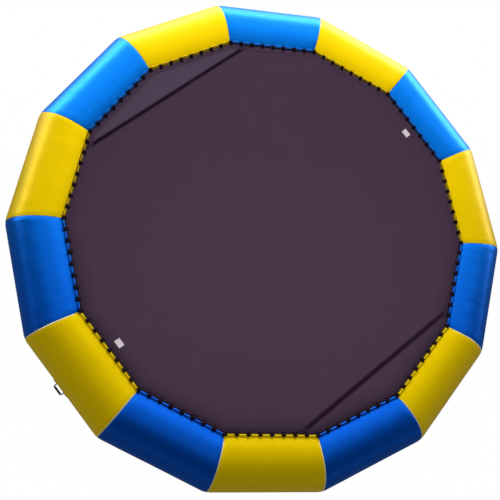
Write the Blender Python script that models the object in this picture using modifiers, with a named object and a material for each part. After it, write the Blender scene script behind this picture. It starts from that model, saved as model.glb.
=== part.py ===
"""Springless water bouncer: an inflated ring of mitred vinyl tube sections round a laced bounce bed.

Metres, +Z up, origin on the ground under the middle of the ring. Section 11 carries the grab handle and
faces -Y. The sections count clockwise as seen from above, odd ones yellow and even ones blue.
Each piece of a section is modelled with the section's outer side towards +X, and then turned into place.
"""

import math

import bmesh
import bpy
from mathutils import Matrix, Vector

# Ring of tube sections, its diameter taken across the outer corners
SECTIONS = 14
RING_DIAMETER = 6.10
TUBE_DIAMETER = 0.84
TUBE_SKIN = 0.0012
TUBE_SIDES = 28
REST_GAP = 0.0003
MERGE_DISTANCE = 0.00001
CUTTER_OVERRUN = 0.01
HANDLE_SECTION = 11
VALVE_SECTION = 4
ANCHOR_SECTIONS = (2, 7, 12)

# Facets of a tube, counted upwards from the one at the outer side's middle height
SIDE_FACET = 0
LACING_FACET = 9
ANCHOR_FACET = -3

# Lacing along the tube's upper inner side
STRIP_WIDTH = 0.055
STRIP_THICKNESS = 0.0015
STRIP_EDGE = 0.0095
ROPE_DIAMETER = 0.012
ROPE_REACH = 0.0165
ROPE_RISE = 0.0140
TABS_PER_SECTION = 8
TAB_LENGTH = 0.078
TAB_BASE = 0.016
TAB_WALL = 0.002
WELD_DEPTH = 0.0005

# Webbing loops that hook the bed's hem onto the rope
LOOP_WIDTH = 0.038
LOOP_THICKNESS = 0.002
LOOP_SLACK = 0.0006
LOOP_LEG = 0.034
STITCH_DEPTH = 0.0006

# Bounce bed
HEM_GAP = 0.026
HEM_WIDTH = 0.050
HEM_LAYER = 0.0015
HEM_FOLD = 0.002
BED_THICKNESS = 0.0012
SIDE_PANEL_WIDTH = 0.2935
SEAM_STRIP_WIDTH = 0.038
SEAM_STRIP_THICKNESS = 0.0015
TAG_LENGTH = 0.097
TAG_WIDTH = 0.070
TAG_THICKNESS = 0.001
TAG_FROM_HEM = 0.025
TAG_CORNER = 0.006

# Grab handle
HANDLE_LENGTH = 0.140
HANDLE_STANDOFF = 0.052
GRIP_DIAMETER = 0.026
GRIP_LENGTH = 0.104
GRIP_BEVEL = 0.004
GRIP_STEPS = 14
STRAP_WIDTH = 0.018
STRAP_THICKNESS = 0.0025
LEG_THICKNESS = 0.012
STRAP_BEND = 0.016
STRAP_END_LENGTH = 0.046
HANDLE_PATCH_LENGTH = 0.270
HANDLE_PATCH_WIDTH = 0.084
PATCH_THICKNESS = 0.002
PATCH_CORNER = 0.024

# Inflation valve: heights are counted outwards from the tube's skin, and widths beyond the barrel
VALVE_STEPS = 16
PLUNGER_STEPS = 12
FLANGE_WIDTH = 0.0125
FLANGE_THICKNESS = 0.003
BARREL_RADIUS = 0.0235
BARREL_DEPTH = 0.040
BARREL_WALL = 0.003
COLLAR_WIDTH = 0.0025
COLLAR_HEIGHT = 0.012
SEAT_RADIUS = 0.011
SEAT_THICKNESS = 0.003
NUT_WIDTH = 0.0075
NUT_THICKNESS = 0.006
GUIDE_DEPTH = 0.016
GUIDE_THICKNESS = 0.003
GUIDE_RIM = 0.003
GUIDE_ARM = 0.004
GUIDE_HUB_WALL = 0.003
GUIDE_ARMS = 3
STEM_RADIUS = 0.003
BUTTON_RADIUS = 0.007
BUTTON_THICKNESS = 0.003
BUTTON_TOP = 0.004
PLATE_RADIUS = 0.013
PLATE_THICKNESS = 0.002
PLATE_NUB = 0.003
DIAPHRAGM_RADIUS = 0.015
DIAPHRAGM_THICKNESS = 0.0015
SPRING_TURNS = 4
SPRING_POINTS = 8
SPRING_RADIUS = 0.0052
SPRING_WIRE = 0.001
CAP_WALL = 0.003
CAP_TOP = 0.004
SEAL_THICKNESS = 0.002
CAP_BAR_LENGTH = 0.044
CAP_BAR_WIDTH = 0.008
CAP_BAR_HEIGHT = 0.008

# Anchor rings on the lower outer side
RING_WIRE = 0.007
RING_WIDTH = 0.052
RING_SIDE = 0.012
RING_ARC_POINTS = 9
ANCHOR_PATCH_LENGTH = 0.130
ANCHOR_PATCH_WIDTH = 0.088
ANCHOR_TAB_WIDTH = 0.036
ANCHOR_TAB_BASE = 0.040
ANCHOR_TAB_WALL = 0.0022
ANCHOR_TAB_RISE = 0.0072

# Sizes that follow from those above
HALF_STEP = math.pi / SECTIONS
TUBE_RADIUS = TUBE_DIAMETER / 2
RING_APOTHEM = RING_DIAMETER / 2 * math.cos(HALF_STEP) - TUBE_RADIUS
SECTION_SLOPE = math.tan(HALF_STEP)
MITRE_GAP = REST_GAP / 2 / math.cos(HALF_STEP)
FACET_ANGLE = 2 * math.pi / TUBE_SIDES
ROPE_RADIUS = ROPE_DIAMETER / 2
STRIP_TOP = REST_GAP + STRIP_THICKNESS
PATCH_TOP = REST_GAP + PATCH_THICKNESS
HEM_HALF = BED_THICKNESS / 2 + REST_GAP + HEM_LAYER
BED_TOP_RISE = BED_THICKNESS / 2 + REST_GAP
FLANGE_RADIUS = BARREL_RADIUS + FLANGE_WIDTH
COLLAR_RADIUS = BARREL_RADIUS + COLLAR_WIDTH
NUT_RADIUS = BARREL_RADIUS + NUT_WIDTH


# Places on a tube and in a section

def on_facet(facet, along, rise):
    """Point in a section's XZ plane, along a facet upwards on the outer side and rise above its skin."""
    turn = facet * FACET_ANGLE
    normal = Vector((math.cos(turn), math.sin(turn)))
    tangent = Vector((-math.sin(turn), math.cos(turn)))
    middle = Vector((RING_APOTHEM, TUBE_RADIUS))
    return middle + normal * (TUBE_RADIUS + rise) + tangent * along


def facet_frame(facet, along, rise):
    """Matrix that takes X to the section's length, Y to the facet's slope and Z to its normal."""
    turn = facet * FACET_ANGLE
    place = on_facet(facet, along, rise)
    frame = Matrix(
        (
            (0, -math.sin(turn), math.cos(turn), place.x),
            (1, 0, 0, 0),
            (0, math.cos(turn), math.sin(turn), place.y),
            (0, 0, 0, 1),
        )
    )
    return frame


def section_turn(section):
    """Matrix that turns a piece from the +X side into its section."""
    steps = HANDLE_SECTION - section
    return Matrix.Rotation(math.radians(-90) + steps * 2 * HALF_STEP, 4, "Z")


ROPE_PLACE = on_facet(LACING_FACET, STRIP_EDGE + ROPE_REACH, ROPE_RISE)
ROPE_APOTHEM = ROPE_PLACE.x
ROPE_HEIGHT = ROPE_PLACE.y
HEM_APOTHEM = ROPE_APOTHEM - HEM_GAP
BED_APOTHEM = HEM_APOTHEM - HEM_FOLD - REST_GAP
BED_SEAM_OFFSET = BED_APOTHEM - SIDE_PANEL_WIDTH
PITCH = 2 * ROPE_APOTHEM * SECTION_SLOPE / TABS_PER_SECTION
CROSS_SECTION = Matrix(((1, 0, 0, 0), (0, 0, -1, 0), (0, 1, 0, 0), (0, 0, 0, 1)))
HANDLE_PLANE = Matrix(
    ((0, 1, 0, RING_APOTHEM + TUBE_RADIUS), (1, 0, 0, 0), (0, 0, -1, TUBE_RADIUS), (0, 0, 0, 1))
)
VALVE_FRAME = facet_frame(SIDE_FACET, 0, 0)


# Materials and collections

def make_material(name, colour, roughness, metallic=0.0):
    material = bpy.data.materials.new(name)
    material.use_nodes = True
    shader = material.node_tree.nodes["Principled BSDF"]
    shader.inputs["Base Color"].default_value = (*colour, 1.0)
    shader.inputs["Roughness"].default_value = roughness
    shader.inputs["Metallic"].default_value = metallic
    material.diffuse_color = (*colour, 1.0)
    return material


def clear_scene():
    for old in list(bpy.data.objects):
        bpy.data.objects.remove(old, do_unlink=True)


def new_collection(name):
    collection = bpy.data.collections.new(name)
    bpy.context.scene.collection.children.link(collection)
    return collection


clear_scene()
BOUNCER = new_collection("water_bouncer")
CUTTERS = new_collection("cutters")
CUTTERS.hide_render = True
YELLOW_VINYL = make_material("yellow_vinyl", (0.83, 0.66, 0.0), 0.28)
BLUE_VINYL = make_material("blue_vinyl", (0.0, 0.17, 0.72), 0.28)
BLACK_WEBBING = make_material("black_webbing", (0.012, 0.010, 0.014), 0.85)
BLACK_ROPE = make_material("black_rope", (0.010, 0.010, 0.012), 0.75)
BED_FABRIC = make_material("bed_fabric", (0.060, 0.034, 0.056), 0.80)
SEAM_WEBBING = make_material("seam_webbing", (0.018, 0.004, 0.012), 0.85)
TAG_CLOTH = make_material("tag_cloth", (0.80, 0.79, 0.78), 0.60)
BLACK_RUBBER = make_material("black_rubber", (0.014, 0.014, 0.015), 0.55)
VALVE_PLASTIC = make_material("valve_plastic", (0.030, 0.031, 0.034), 0.40)
GREY_RUBBER = make_material("grey_rubber", (0.18, 0.18, 0.19), 0.60)
STEEL = make_material("stainless_steel", (0.62, 0.62, 0.60), 0.25, 1.0)


# Mesh helpers

def mesh_from_bmesh(name, bm):
    mesh = bpy.data.meshes.new(name)
    bm.to_mesh(mesh)
    bm.free()
    return mesh


def mesh_from_object(source):
    """Plain welded mesh of an object as its modifiers or bevel leave it, the object itself removed."""
    bpy.context.scene.collection.objects.link(source)
    bpy.context.view_layer.update()
    graph = bpy.context.evaluated_depsgraph_get()
    mesh = bpy.data.meshes.new_from_object(source.evaluated_get(graph))
    mesh.transform(source.matrix_world)
    bpy.data.objects.remove(source, do_unlink=True)
    bm = bmesh.new()
    bm.from_mesh(mesh)
    bmesh.ops.remove_doubles(bm, verts=bm.verts, dist=MERGE_DISTANCE)
    bmesh.ops.recalc_face_normals(bm, faces=bm.faces)
    bm.to_mesh(mesh)
    bm.free()
    return mesh


def extruded(name, loops, depth, frame):
    """Flat outline, with a hole for each loop after the first, extruded about its own plane."""
    curve = bpy.data.curves.new(name, "CURVE")
    curve.dimensions = "2D"
    curve.fill_mode = "BOTH"
    curve.extrude = depth / 2
    for loop in loops:
        spline = curve.splines.new("POLY")
        spline.points.add(len(loop) - 1)
        for point, place in zip(spline.points, loop):
            point.co = (place[0], place[1], 0, 1)
        spline.use_cyclic_u = True
    mesh = mesh_from_object(bpy.data.objects.new(name, curve))
    mesh.transform(frame)
    return mesh


def wire(name, points, radius, resolution, cyclic):
    """Round wire or rope along straight runs between points."""
    curve = bpy.data.curves.new(name, "CURVE")
    curve.dimensions = "3D"
    curve.bevel_depth = radius
    curve.bevel_resolution = resolution
    curve.use_fill_caps = not cyclic
    spline = curve.splines.new("POLY")
    spline.points.add(len(points) - 1)
    for point, place in zip(spline.points, points):
        point.co = (*place, 1)
    spline.use_cyclic_u = cyclic
    return mesh_from_object(bpy.data.objects.new(name, curve))


def turned(name, profile, steps, frame):
    """Closed profile of (radius, height) points turned once round the frame's Z axis."""
    bm = bmesh.new()
    rim = [bm.verts.new((radius, 0, height)) for radius, height in profile]
    for first, second in zip(rim, rim[1:]):
        bm.edges.new((first, second))
    if min(radius for radius, height in profile) > 0:
        bm.edges.new((rim[-1], rim[0]))
    source = bpy.data.objects.new(name, mesh_from_bmesh(name, bm))
    screw = source.modifiers.new("turn", "SCREW")
    screw.steps = steps
    screw.render_steps = steps
    screw.use_merge_vertices = True
    screw.merge_threshold = MERGE_DISTANCE
    mesh = mesh_from_object(source)
    mesh.transform(frame)
    return mesh


def block(name, size, frame):
    bm = bmesh.new()
    bmesh.ops.create_cube(bm, size=1.0, matrix=Matrix.Diagonal((*size, 1.0)))
    mesh = mesh_from_bmesh(name, bm)
    mesh.transform(frame)
    return mesh


def copies(name, mesh, matrices):
    """One mesh that holds a separate body for each matrix."""
    bm = bmesh.new()
    for matrix in matrices:
        copy = mesh.copy()
        copy.transform(matrix)
        bm.from_mesh(copy)
        bpy.data.meshes.remove(copy)
    return mesh_from_bmesh(name, bm)


def mitred(mesh):
    """The mesh with each end moved to the plane between its section and the next."""
    for vertex in mesh.vertices:
        reach = vertex.co.x * SECTION_SLOPE - MITRE_GAP
        vertex.co.y = math.copysign(reach, vertex.co.y)
    mesh.update()
    return mesh


def add_piece(name, mesh, material, matrix=None, round_piece=True):
    """Named object in the bouncer's collection, at the place that the matrix gives."""
    if not mesh.materials:
        mesh.materials.append(material)
    if round_piece:
        mesh.shade_smooth()
        mesh.set_sharp_from_angle(angle=math.radians(35))
    piece = bpy.data.objects.new(name, mesh)
    BOUNCER.objects.link(piece)
    if matrix is not None:
        piece.matrix_world = matrix
    return piece


def add_cutter(name, mesh, matrix):
    cutter = bpy.data.objects.new(name, mesh)
    cutter.display_type = "WIRE"
    cutter.hide_render = True
    cutter.matrix_world = matrix
    CUTTERS.objects.link(cutter)
    return cutter


def cut_or_join(piece, name, other, operation):
    boolean = piece.modifiers.new(name, "BOOLEAN")
    boolean.operation = operation
    boolean.solver = "EXACT"
    boolean.object = other


def fused(name, base, addition):
    """One body from a mesh and the bodies that are welded or stitched onto it."""
    source = bpy.data.objects.new(name, base)
    other = bpy.data.objects.new(f"{name}_addition", addition)
    bpy.context.scene.collection.objects.link(other)
    cut_or_join(source, "weld", other, "UNION")
    mesh = mesh_from_object(source)
    bpy.data.objects.remove(other, do_unlink=True)
    return mesh


def add_axis(name, matrix):
    """Empty that stands on a joint's axis, for the pieces that turn or slide with it."""
    axis = bpy.data.objects.new(name, None)
    axis.empty_display_size = TUBE_RADIUS / 4
    axis.matrix_world = matrix
    BOUNCER.objects.link(axis)
    return axis


def hang_on(axis, *pieces):
    for piece in pieces:
        place = piece.matrix_world.copy()
        piece.parent = axis
        piece.matrix_parent_inverse = axis.matrix_world.inverted()
        piece.matrix_world = place


# Outlines

def arc(centre, radius, start, end, count):
    """Points on an arc, angles in degrees, ends included."""
    points = []
    for index in range(count):
        turn = math.radians(start + (end - start) * index / (count - 1))
        points.append((centre[0] + radius * math.cos(turn), centre[1] + radius * math.sin(turn)))
    return points


def ring_outline(centre, apothem, count):
    """Regular outline whose flats lie at the apothem."""
    radius = apothem / math.cos(math.pi / count)
    return arc(centre, radius, 0, 360 - 360 / count, count)


def rounded_outline(length, width, corner, count):
    points = []
    for start, right, up in ((0, 1, 1), (90, -1, 1), (180, -1, -1), (270, 1, -1)):
        centre = (right * (length / 2 - corner), up * (width / 2 - corner))
        points += arc(centre, corner, start, start + 90, count)
    return points


def ring_profile(inner, outer, low, high):
    return [(outer, high), (outer, low), (inner, low), (inner, high)]


def sleeve_loops(base_start, base_rise, wall, centre, pin_radius):
    """Teardrop sleeve round a pin, drawn out into a tail that lies on what carries it, and its hole."""
    spread = 70
    outer = (pin_radius + REST_GAP + wall) / math.cos(math.radians(spread / 2))
    nose = arc(centre, outer, spread / 2 - 90, spread / 2 - 90 + 3 * spread, 4)
    tail = [(base_start, base_rise + wall), (base_start, base_rise)]
    hole = ring_outline(centre, pin_radius + REST_GAP, 6)
    return [nose + tail, hole]


# Inflated ring

def tube_mesh(name):
    """Thin vinyl tube of one section, open at its mitred ends, with a flat facet under it."""
    outer = TUBE_RADIUS / math.cos(FACET_ANGLE / 2)
    inner = (TUBE_RADIUS - TUBE_SKIN) / math.cos(FACET_ANGLE / 2)
    lay = Matrix.Translation((RING_APOTHEM, 0, TUBE_RADIUS))
    lay = lay @ Matrix.Rotation(math.radians(90), 4, "X") @ Matrix.Rotation(FACET_ANGLE / 2, 4, "Z")
    profile = ring_profile(inner, outer, -TUBE_RADIUS, TUBE_RADIUS)
    return mitred(turned(name, profile, TUBE_SIDES, lay))


def colour_of(section):
    return ("blue", BLUE_VINYL) if section % 2 == 0 else ("yellow", YELLOW_VINYL)


def make_tubes():
    shared = {"yellow": tube_mesh("yellow_tube"), "blue": tube_mesh("blue_tube")}
    for section in range(1, SECTIONS + 1):
        colour, vinyl = colour_of(section)
        mesh = shared[colour]
        if section == VALVE_SECTION:
            mesh = tube_mesh("valve_tube")
        tube = add_piece(f"{colour}_tube_{section:02d}", mesh, vinyl, section_turn(section))
        if section == VALVE_SECTION:
            top = CUTTER_OVERRUN
            hole = [(BARREL_RADIUS + REST_GAP, top), (BARREL_RADIUS + REST_GAP, -top)]
            profile = [(0, top), *hole, (0, -top)]
            drill = turned("valve_hole", profile, VALVE_STEPS, VALVE_FRAME)
            cutter = add_cutter("valve_hole_cutter", drill, section_turn(section))
            cut_or_join(tube, "valve_hole", cutter, "DIFFERENCE")


# Lacing

def strip_mesh(name):
    """Welded base strip along one facet of a section's upper inner side."""
    low, high = REST_GAP, STRIP_TOP
    corners = [
        on_facet(LACING_FACET, STRIP_EDGE - STRIP_WIDTH, low),
        on_facet(LACING_FACET, STRIP_EDGE, low),
        on_facet(LACING_FACET, STRIP_EDGE, high),
        on_facet(LACING_FACET, STRIP_EDGE - STRIP_WIDTH, high),
    ]
    return mitred(extruded(name, [corners], TUBE_DIAMETER, CROSS_SECTION))


def tab_mesh(name):
    """One vinyl tab, folded round the rope, its tail sunk into the base strip by the weld's depth."""
    base_rise = STRIP_TOP - WELD_DEPTH
    centre = (STRIP_EDGE + ROPE_REACH, ROPE_RISE)
    loops = sleeve_loops(STRIP_EDGE - TAB_BASE, base_rise, TAB_WALL, centre, ROPE_RADIUS)
    placed = [[on_facet(LACING_FACET, *point) for point in loop] for loop in loops]
    return extruded(name, placed, TAB_LENGTH, CROSS_SECTION)


def flap_mesh(name):
    """A section's base strip with its row of tabs, one welded piece."""
    places = []
    for index in range(TABS_PER_SECTION):
        offset = (index + 0.5 - TABS_PER_SECTION / 2) * PITCH
        places.append(Matrix.Translation((0, offset, 0)))
    tabs = copies(f"{name}_tabs", tab_mesh("rope_tab"), places)
    return fused(name, strip_mesh(f"{name}_strip"), tabs)


def make_lacing():
    shared = {"yellow": flap_mesh("yellow_flap"), "blue": flap_mesh("blue_flap")}
    for section in range(1, SECTIONS + 1):
        colour, vinyl = colour_of(section)
        add_piece(f"{colour}_lacing_flap_{section:02d}", shared[colour], vinyl, section_turn(section))


def make_rope():
    """Lacing rope that runs right round the ring through all the tabs."""
    corner = Vector((ROPE_APOTHEM, ROPE_APOTHEM * SECTION_SLOPE, ROPE_HEIGHT))
    points = [section_turn(section) @ corner for section in range(1, SECTIONS + 1)]
    add_piece("lacing_rope", wire("lacing_rope", points, ROPE_RADIUS, 1, True), BLACK_ROPE)


def loop_mesh(name):
    """Webbing doubled round the rope, with both legs drawn in and stitched into the hem."""
    wrap = ROPE_RADIUS + REST_GAP
    end = -HEM_GAP - LOOP_LEG
    grip = HEM_HALF - STITCH_DEPTH
    top = wrap + LOOP_SLACK
    inner = [(end, grip), (wrap, top), (wrap, -top), (end, -grip)]
    outer_top = top + LOOP_THICKNESS
    outer_end = grip + LOOP_THICKNESS
    nose = wrap + LOOP_THICKNESS
    outer = [(end, -outer_end), (nose, -outer_top), (nose, outer_top), (end, outer_end)]
    place = Matrix.Translation((ROPE_APOTHEM, 0, ROPE_HEIGHT))
    return extruded(name, [inner + outer], LOOP_WIDTH, place @ CROSS_SECTION)


def loops_mesh(name):
    """A loop in each notch between two tabs, the notch at each corner of the ring included."""
    places = []
    corner_shift = ROPE_APOTHEM / math.cos(HALF_STEP) - ROPE_APOTHEM
    for section in range(1, SECTIONS + 1):
        turn = section_turn(section)
        for index in range(1, TABS_PER_SECTION):
            offset = (index - TABS_PER_SECTION / 2) * PITCH
            places.append(turn @ Matrix.Translation((0, offset, 0)))
        half_turn = Matrix.Rotation(HALF_STEP, 4, "Z")
        places.append(turn @ half_turn @ Matrix.Translation((corner_shift, 0, 0)))
    return copies(name, loop_mesh("bed_loop"), places)


# Bounce bed

def make_hem():
    """Webbing folded over the bed's edge, a channel that follows the ring's corners, with its loops."""
    inner = HEM_APOTHEM - HEM_WIDTH
    slot = BED_THICKNESS / 2 + REST_GAP
    fold = HEM_APOTHEM - HEM_FOLD
    section = [
        (HEM_APOTHEM, HEM_HALF),
        (HEM_APOTHEM, -HEM_HALF),
        (inner, -HEM_HALF),
        (inner, -slot),
        (fold, -slot),
        (fold, slot),
        (inner, slot),
        (inner, HEM_HALF),
    ]
    profile = [(apothem / math.cos(HALF_STEP), height) for apothem, height in section]
    frame = Matrix.Translation((0, 0, ROPE_HEIGHT)) @ section_turn(1)
    frame = frame @ Matrix.Rotation(HALF_STEP, 4, "Z")
    channel = turned("hem_channel", profile, SECTIONS, frame)
    hem = fused("bed_hem", channel, loops_mesh("bed_loops"))
    add_piece("bed_hem", hem, BLACK_WEBBING, round_piece=False)


def bed_slice(name, apothem, low, high, thickness, rise):
    """Slice of the bed's outline between two planes across X, rise above the bed's middle plane."""
    bm = bmesh.new()
    radius = apothem / math.cos(HALF_STEP)
    place = Matrix.Translation((0, 0, ROPE_HEIGHT + rise)) @ section_turn(1)
    place = place @ Matrix.Rotation(HALF_STEP, 4, "Z") @ Matrix.Rotation(math.radians(-90), 4, "Z")
    bmesh.ops.create_cone(
        bm,
        cap_ends=True,
        segments=SECTIONS,
        radius1=radius,
        radius2=radius,
        depth=thickness,
        matrix=place,
    )
    for limit, side in ((low, -1), (high, 1)):
        if abs(limit) > apothem:
            continue
        geometry = bm.verts[:] + bm.edges[:] + bm.faces[:]
        cut = bmesh.ops.bisect_plane(
            bm, geom=geometry, plane_co=(limit, 0, 0), plane_no=(side, 0, 0), clear_outer=True
        )
        edges = [item for item in cut["geom_cut"] if isinstance(item, bmesh.types.BMEdge)]
        bmesh.ops.edgeloop_fill(bm, edges=edges)
    bmesh.ops.recalc_face_normals(bm, faces=bm.faces)
    return mesh_from_bmesh(name, bm)


def make_bed():
    """Three fabric panels, the webbing over their two seams and the two plain tags, on the bounce axis."""
    near = BED_SEAM_OFFSET - REST_GAP / 2
    far = BED_SEAM_OFFSET + REST_GAP / 2
    beyond = RING_DIAMETER
    panels = {
        "bed_centre_panel": (-near, near),
        "bed_left_panel": (-beyond, -far),
        "bed_right_panel": (far, beyond),
    }
    pieces = []
    for name, (low, high) in panels.items():
        mesh = bed_slice(name, BED_APOTHEM, low, high, BED_THICKNESS, 0)
        pieces.append(add_piece(name, mesh, BED_FABRIC, round_piece=False))
    strip_edge = HEM_APOTHEM - HEM_WIDTH - REST_GAP
    strip_rise = BED_TOP_RISE + SEAM_STRIP_THICKNESS / 2
    for name, side in (("left_seam_strip", -1), ("right_seam_strip", 1)):
        low = side * BED_SEAM_OFFSET - SEAM_STRIP_WIDTH / 2
        mesh = bed_slice(name, strip_edge, low, low + SEAM_STRIP_WIDTH, SEAM_STRIP_THICKNESS, strip_rise)
        pieces.append(add_piece(name, mesh, SEAM_WEBBING, round_piece=False))
    outline = rounded_outline(TAG_LENGTH, TAG_WIDTH, TAG_CORNER, 3)
    reach = HEM_APOTHEM - HEM_WIDTH - TAG_FROM_HEM - TAG_WIDTH / 2
    rise = ROPE_HEIGHT + BED_TOP_RISE + TAG_THICKNESS / 2
    tag = extruded("bed_tag", [outline], TAG_THICKNESS, Matrix.Identity(4))
    for name, side in (("front_bed_tag", -1), ("rear_bed_tag", 1)):
        place = Matrix.Translation((0, side * reach, rise))
        pieces.append(add_piece(name, tag, TAG_CLOTH, place, round_piece=False))
    axis = add_axis("bed_bounce_axis", Matrix.Translation((0, 0, ROPE_HEIGHT)))
    hang_on(axis, *pieces)


# Grab handle

def handle_outline():
    """Rolled strap seen from above: two legs and a bar of even thickness, x along the tube and y outwards."""
    middle = HANDLE_STANDOFF - GRIP_DIAMETER / 2
    top = middle + LEG_THICKNESS / 2
    side = HANDLE_LENGTH / 2
    foot = PATCH_TOP + REST_GAP
    inner_bend = STRAP_BEND - LEG_THICKNESS
    outer = [(side, foot), *arc((side - STRAP_BEND, top - STRAP_BEND), STRAP_BEND, 0, 90, 4)]
    inner = [*arc((side - STRAP_BEND, top - STRAP_BEND), inner_bend, 90, 0, 4)]
    inner.append((side - LEG_THICKNESS, foot))
    left_outer = [(-x, y) for x, y in reversed(outer)]
    left_inner = [(-x, y) for x, y in reversed(inner)]
    return outer + left_outer + left_inner + inner


def make_handle():
    turn = section_turn(HANDLE_SECTION)
    outline = rounded_outline(HANDLE_PATCH_LENGTH, HANDLE_PATCH_WIDTH, PATCH_CORNER, 5)
    rise = REST_GAP + PATCH_THICKNESS / 2
    patch = extruded("handle_patch", [outline], PATCH_THICKNESS, facet_frame(SIDE_FACET, 0, rise))
    add_piece("handle_patch", patch, YELLOW_VINYL, turn, round_piece=False)

    end_outline = rounded_outline(STRAP_END_LENGTH, STRAP_WIDTH, STRAP_THICKNESS, 2)
    end_rise = PATCH_TOP + REST_GAP + STRAP_THICKNESS / 2
    end = extruded("strap_end", [end_outline], STRAP_THICKNESS, facet_frame(SIDE_FACET, 0, end_rise))
    offset = HANDLE_LENGTH / 2 + REST_GAP + STRAP_END_LENGTH / 2
    for name, side in (("handle_strap_end_left", -1), ("handle_strap_end_right", 1)):
        place = turn @ Matrix.Translation((0, side * offset, 0))
        add_piece(name, end, BLACK_WEBBING, place, round_piece=False)

    strap = extruded("handle_strap", [handle_outline()], STRAP_WIDTH, HANDLE_PLANE)
    strap_piece = add_piece("handle_strap", strap, BLACK_WEBBING, turn)

    half = GRIP_LENGTH / 2
    radius = GRIP_DIAMETER / 2
    profile = [
        (0, half),
        (radius - GRIP_BEVEL, half),
        (radius, half - GRIP_BEVEL),
        (radius, GRIP_BEVEL - half),
        (radius - GRIP_BEVEL, -half),
        (0, -half),
    ]
    reach = RING_APOTHEM + TUBE_RADIUS + HANDLE_STANDOFF - radius
    lay = Matrix.Translation((reach, 0, TUBE_RADIUS)) @ Matrix.Rotation(math.radians(90), 4, "X")
    grip = add_piece("handle_grip", turned("handle_grip", profile, GRIP_STEPS, lay), BLACK_RUBBER, turn)
    slot = (
        LEG_THICKNESS + 2 * REST_GAP,
        GRIP_LENGTH + 2 * CUTTER_OVERRUN,
        STRAP_WIDTH + 2 * REST_GAP,
    )
    tool = block("grip_slot", slot, Matrix.Translation((reach, 0, TUBE_RADIUS)))
    cut_or_join(grip, "strap_slot", add_cutter("grip_slot_cutter", tool, turn), "DIFFERENCE")
    foot = on_facet(SIDE_FACET, 0, PATCH_TOP)
    axis = add_axis("handle_flop_axis", turn @ Matrix.Translation((foot.x, 0, foot.y)))
    hang_on(axis, strap_piece, grip)


# Inflation valve

def valve_body_profile():
    bore = BARREL_RADIUS - BARREL_WALL
    flange_top = REST_GAP + FLANGE_THICKNESS
    return [
        (COLLAR_RADIUS, COLLAR_HEIGHT),
        (COLLAR_RADIUS, flange_top),
        (FLANGE_RADIUS - FLANGE_THICKNESS, flange_top),
        (FLANGE_RADIUS, REST_GAP + FLANGE_THICKNESS / 3),
        (FLANGE_RADIUS, REST_GAP),
        (BARREL_RADIUS, REST_GAP),
        (BARREL_RADIUS, -BARREL_DEPTH),
        (SEAT_RADIUS, -BARREL_DEPTH),
        (SEAT_RADIUS, SEAT_THICKNESS - BARREL_DEPTH),
        (bore, SEAT_THICKNESS - BARREL_DEPTH),
        (bore, COLLAR_HEIGHT),
    ]


def guide_loops():
    """Stem guide seen along the valve: a rim and a hub joined by arms, with the stem's hole."""
    rim = BARREL_RADIUS - BARREL_WALL - REST_GAP
    hub = STEM_RADIUS + REST_GAP + GUIDE_HUB_WALL
    loops = [ring_outline((0, 0), rim * math.cos(math.pi / VALVE_STEPS), VALVE_STEPS)]
    loops.append(ring_outline((0, 0), STEM_RADIUS + REST_GAP, 8))
    outside = rim - GUIDE_RIM
    for index in range(GUIDE_ARMS):
        turn = 360 / GUIDE_ARMS * index
        wide = 180 / GUIDE_ARMS - math.degrees(math.asin(GUIDE_ARM / 2 / outside))
        narrow = 180 / GUIDE_ARMS - math.degrees(math.asin(GUIDE_ARM / 2 / hub))
        window = arc((0, 0), outside, turn - wide, turn + wide, 6)
        window += arc((0, 0), hub, turn + narrow, turn - narrow, 4)
        loops.append(window)
    return loops


def plunger_profile():
    """Button, stem, backing plate and end nub, down the outer side from the button's top."""
    plate_top = -BARREL_DEPTH - REST_GAP - DIAPHRAGM_THICKNESS - REST_GAP
    plate_bottom = plate_top - PLATE_THICKNESS
    return [
        (0, BUTTON_TOP),
        (BUTTON_RADIUS, BUTTON_TOP),
        (BUTTON_RADIUS, BUTTON_TOP - BUTTON_THICKNESS),
        (STEM_RADIUS, BUTTON_TOP - BUTTON_THICKNESS),
        (STEM_RADIUS, plate_top),
        (PLATE_RADIUS, plate_top),
        (PLATE_RADIUS, plate_bottom),
        (STEM_RADIUS, plate_bottom),
        (STEM_RADIUS, plate_bottom - PLATE_NUB),
        (0, plate_bottom - PLATE_NUB),
    ]


def spring_points():
    """Centre line of the return spring, from the stem guide up to the button."""
    low = GUIDE_THICKNESS - GUIDE_DEPTH + REST_GAP + SPRING_WIRE / 2
    high = BUTTON_TOP - BUTTON_THICKNESS - REST_GAP - SPRING_WIRE / 2
    count = SPRING_TURNS * SPRING_POINTS
    points = []
    for index in range(count + 1):
        turn = 2 * math.pi * index / SPRING_POINTS
        height = low + (high - low) * index / count
        points.append(Vector((SPRING_RADIUS * math.cos(turn), SPRING_RADIUS * math.sin(turn), height)))
    return points


def least_gap(points, wire_diameter):
    """Smallest free space between two turns of a coil, measured on its points."""
    apart = SPRING_POINTS // 2
    pairs = [(a, b) for a in range(len(points)) for b in range(a + apart, len(points))]
    return min((points[a] - points[b]).length for a, b in pairs) - wire_diameter


def cap_profile():
    """Screw cap over the collar, with a seal between its top and the collar's rim."""
    inside = (COLLAR_RADIUS + REST_GAP) / math.cos(math.pi / VALVE_STEPS)
    outside = inside + CAP_WALL
    skirt = 2 * REST_GAP + FLANGE_THICKNESS
    ceiling = COLLAR_HEIGHT + REST_GAP + SEAL_THICKNESS + REST_GAP
    top = ceiling + CAP_TOP
    return [
        (0, top),
        (outside - CAP_WALL / 2, top),
        (outside, top - CAP_WALL / 2),
        (outside, skirt),
        (inside, skirt),
        (inside, ceiling),
        (0, ceiling),
    ]


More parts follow.
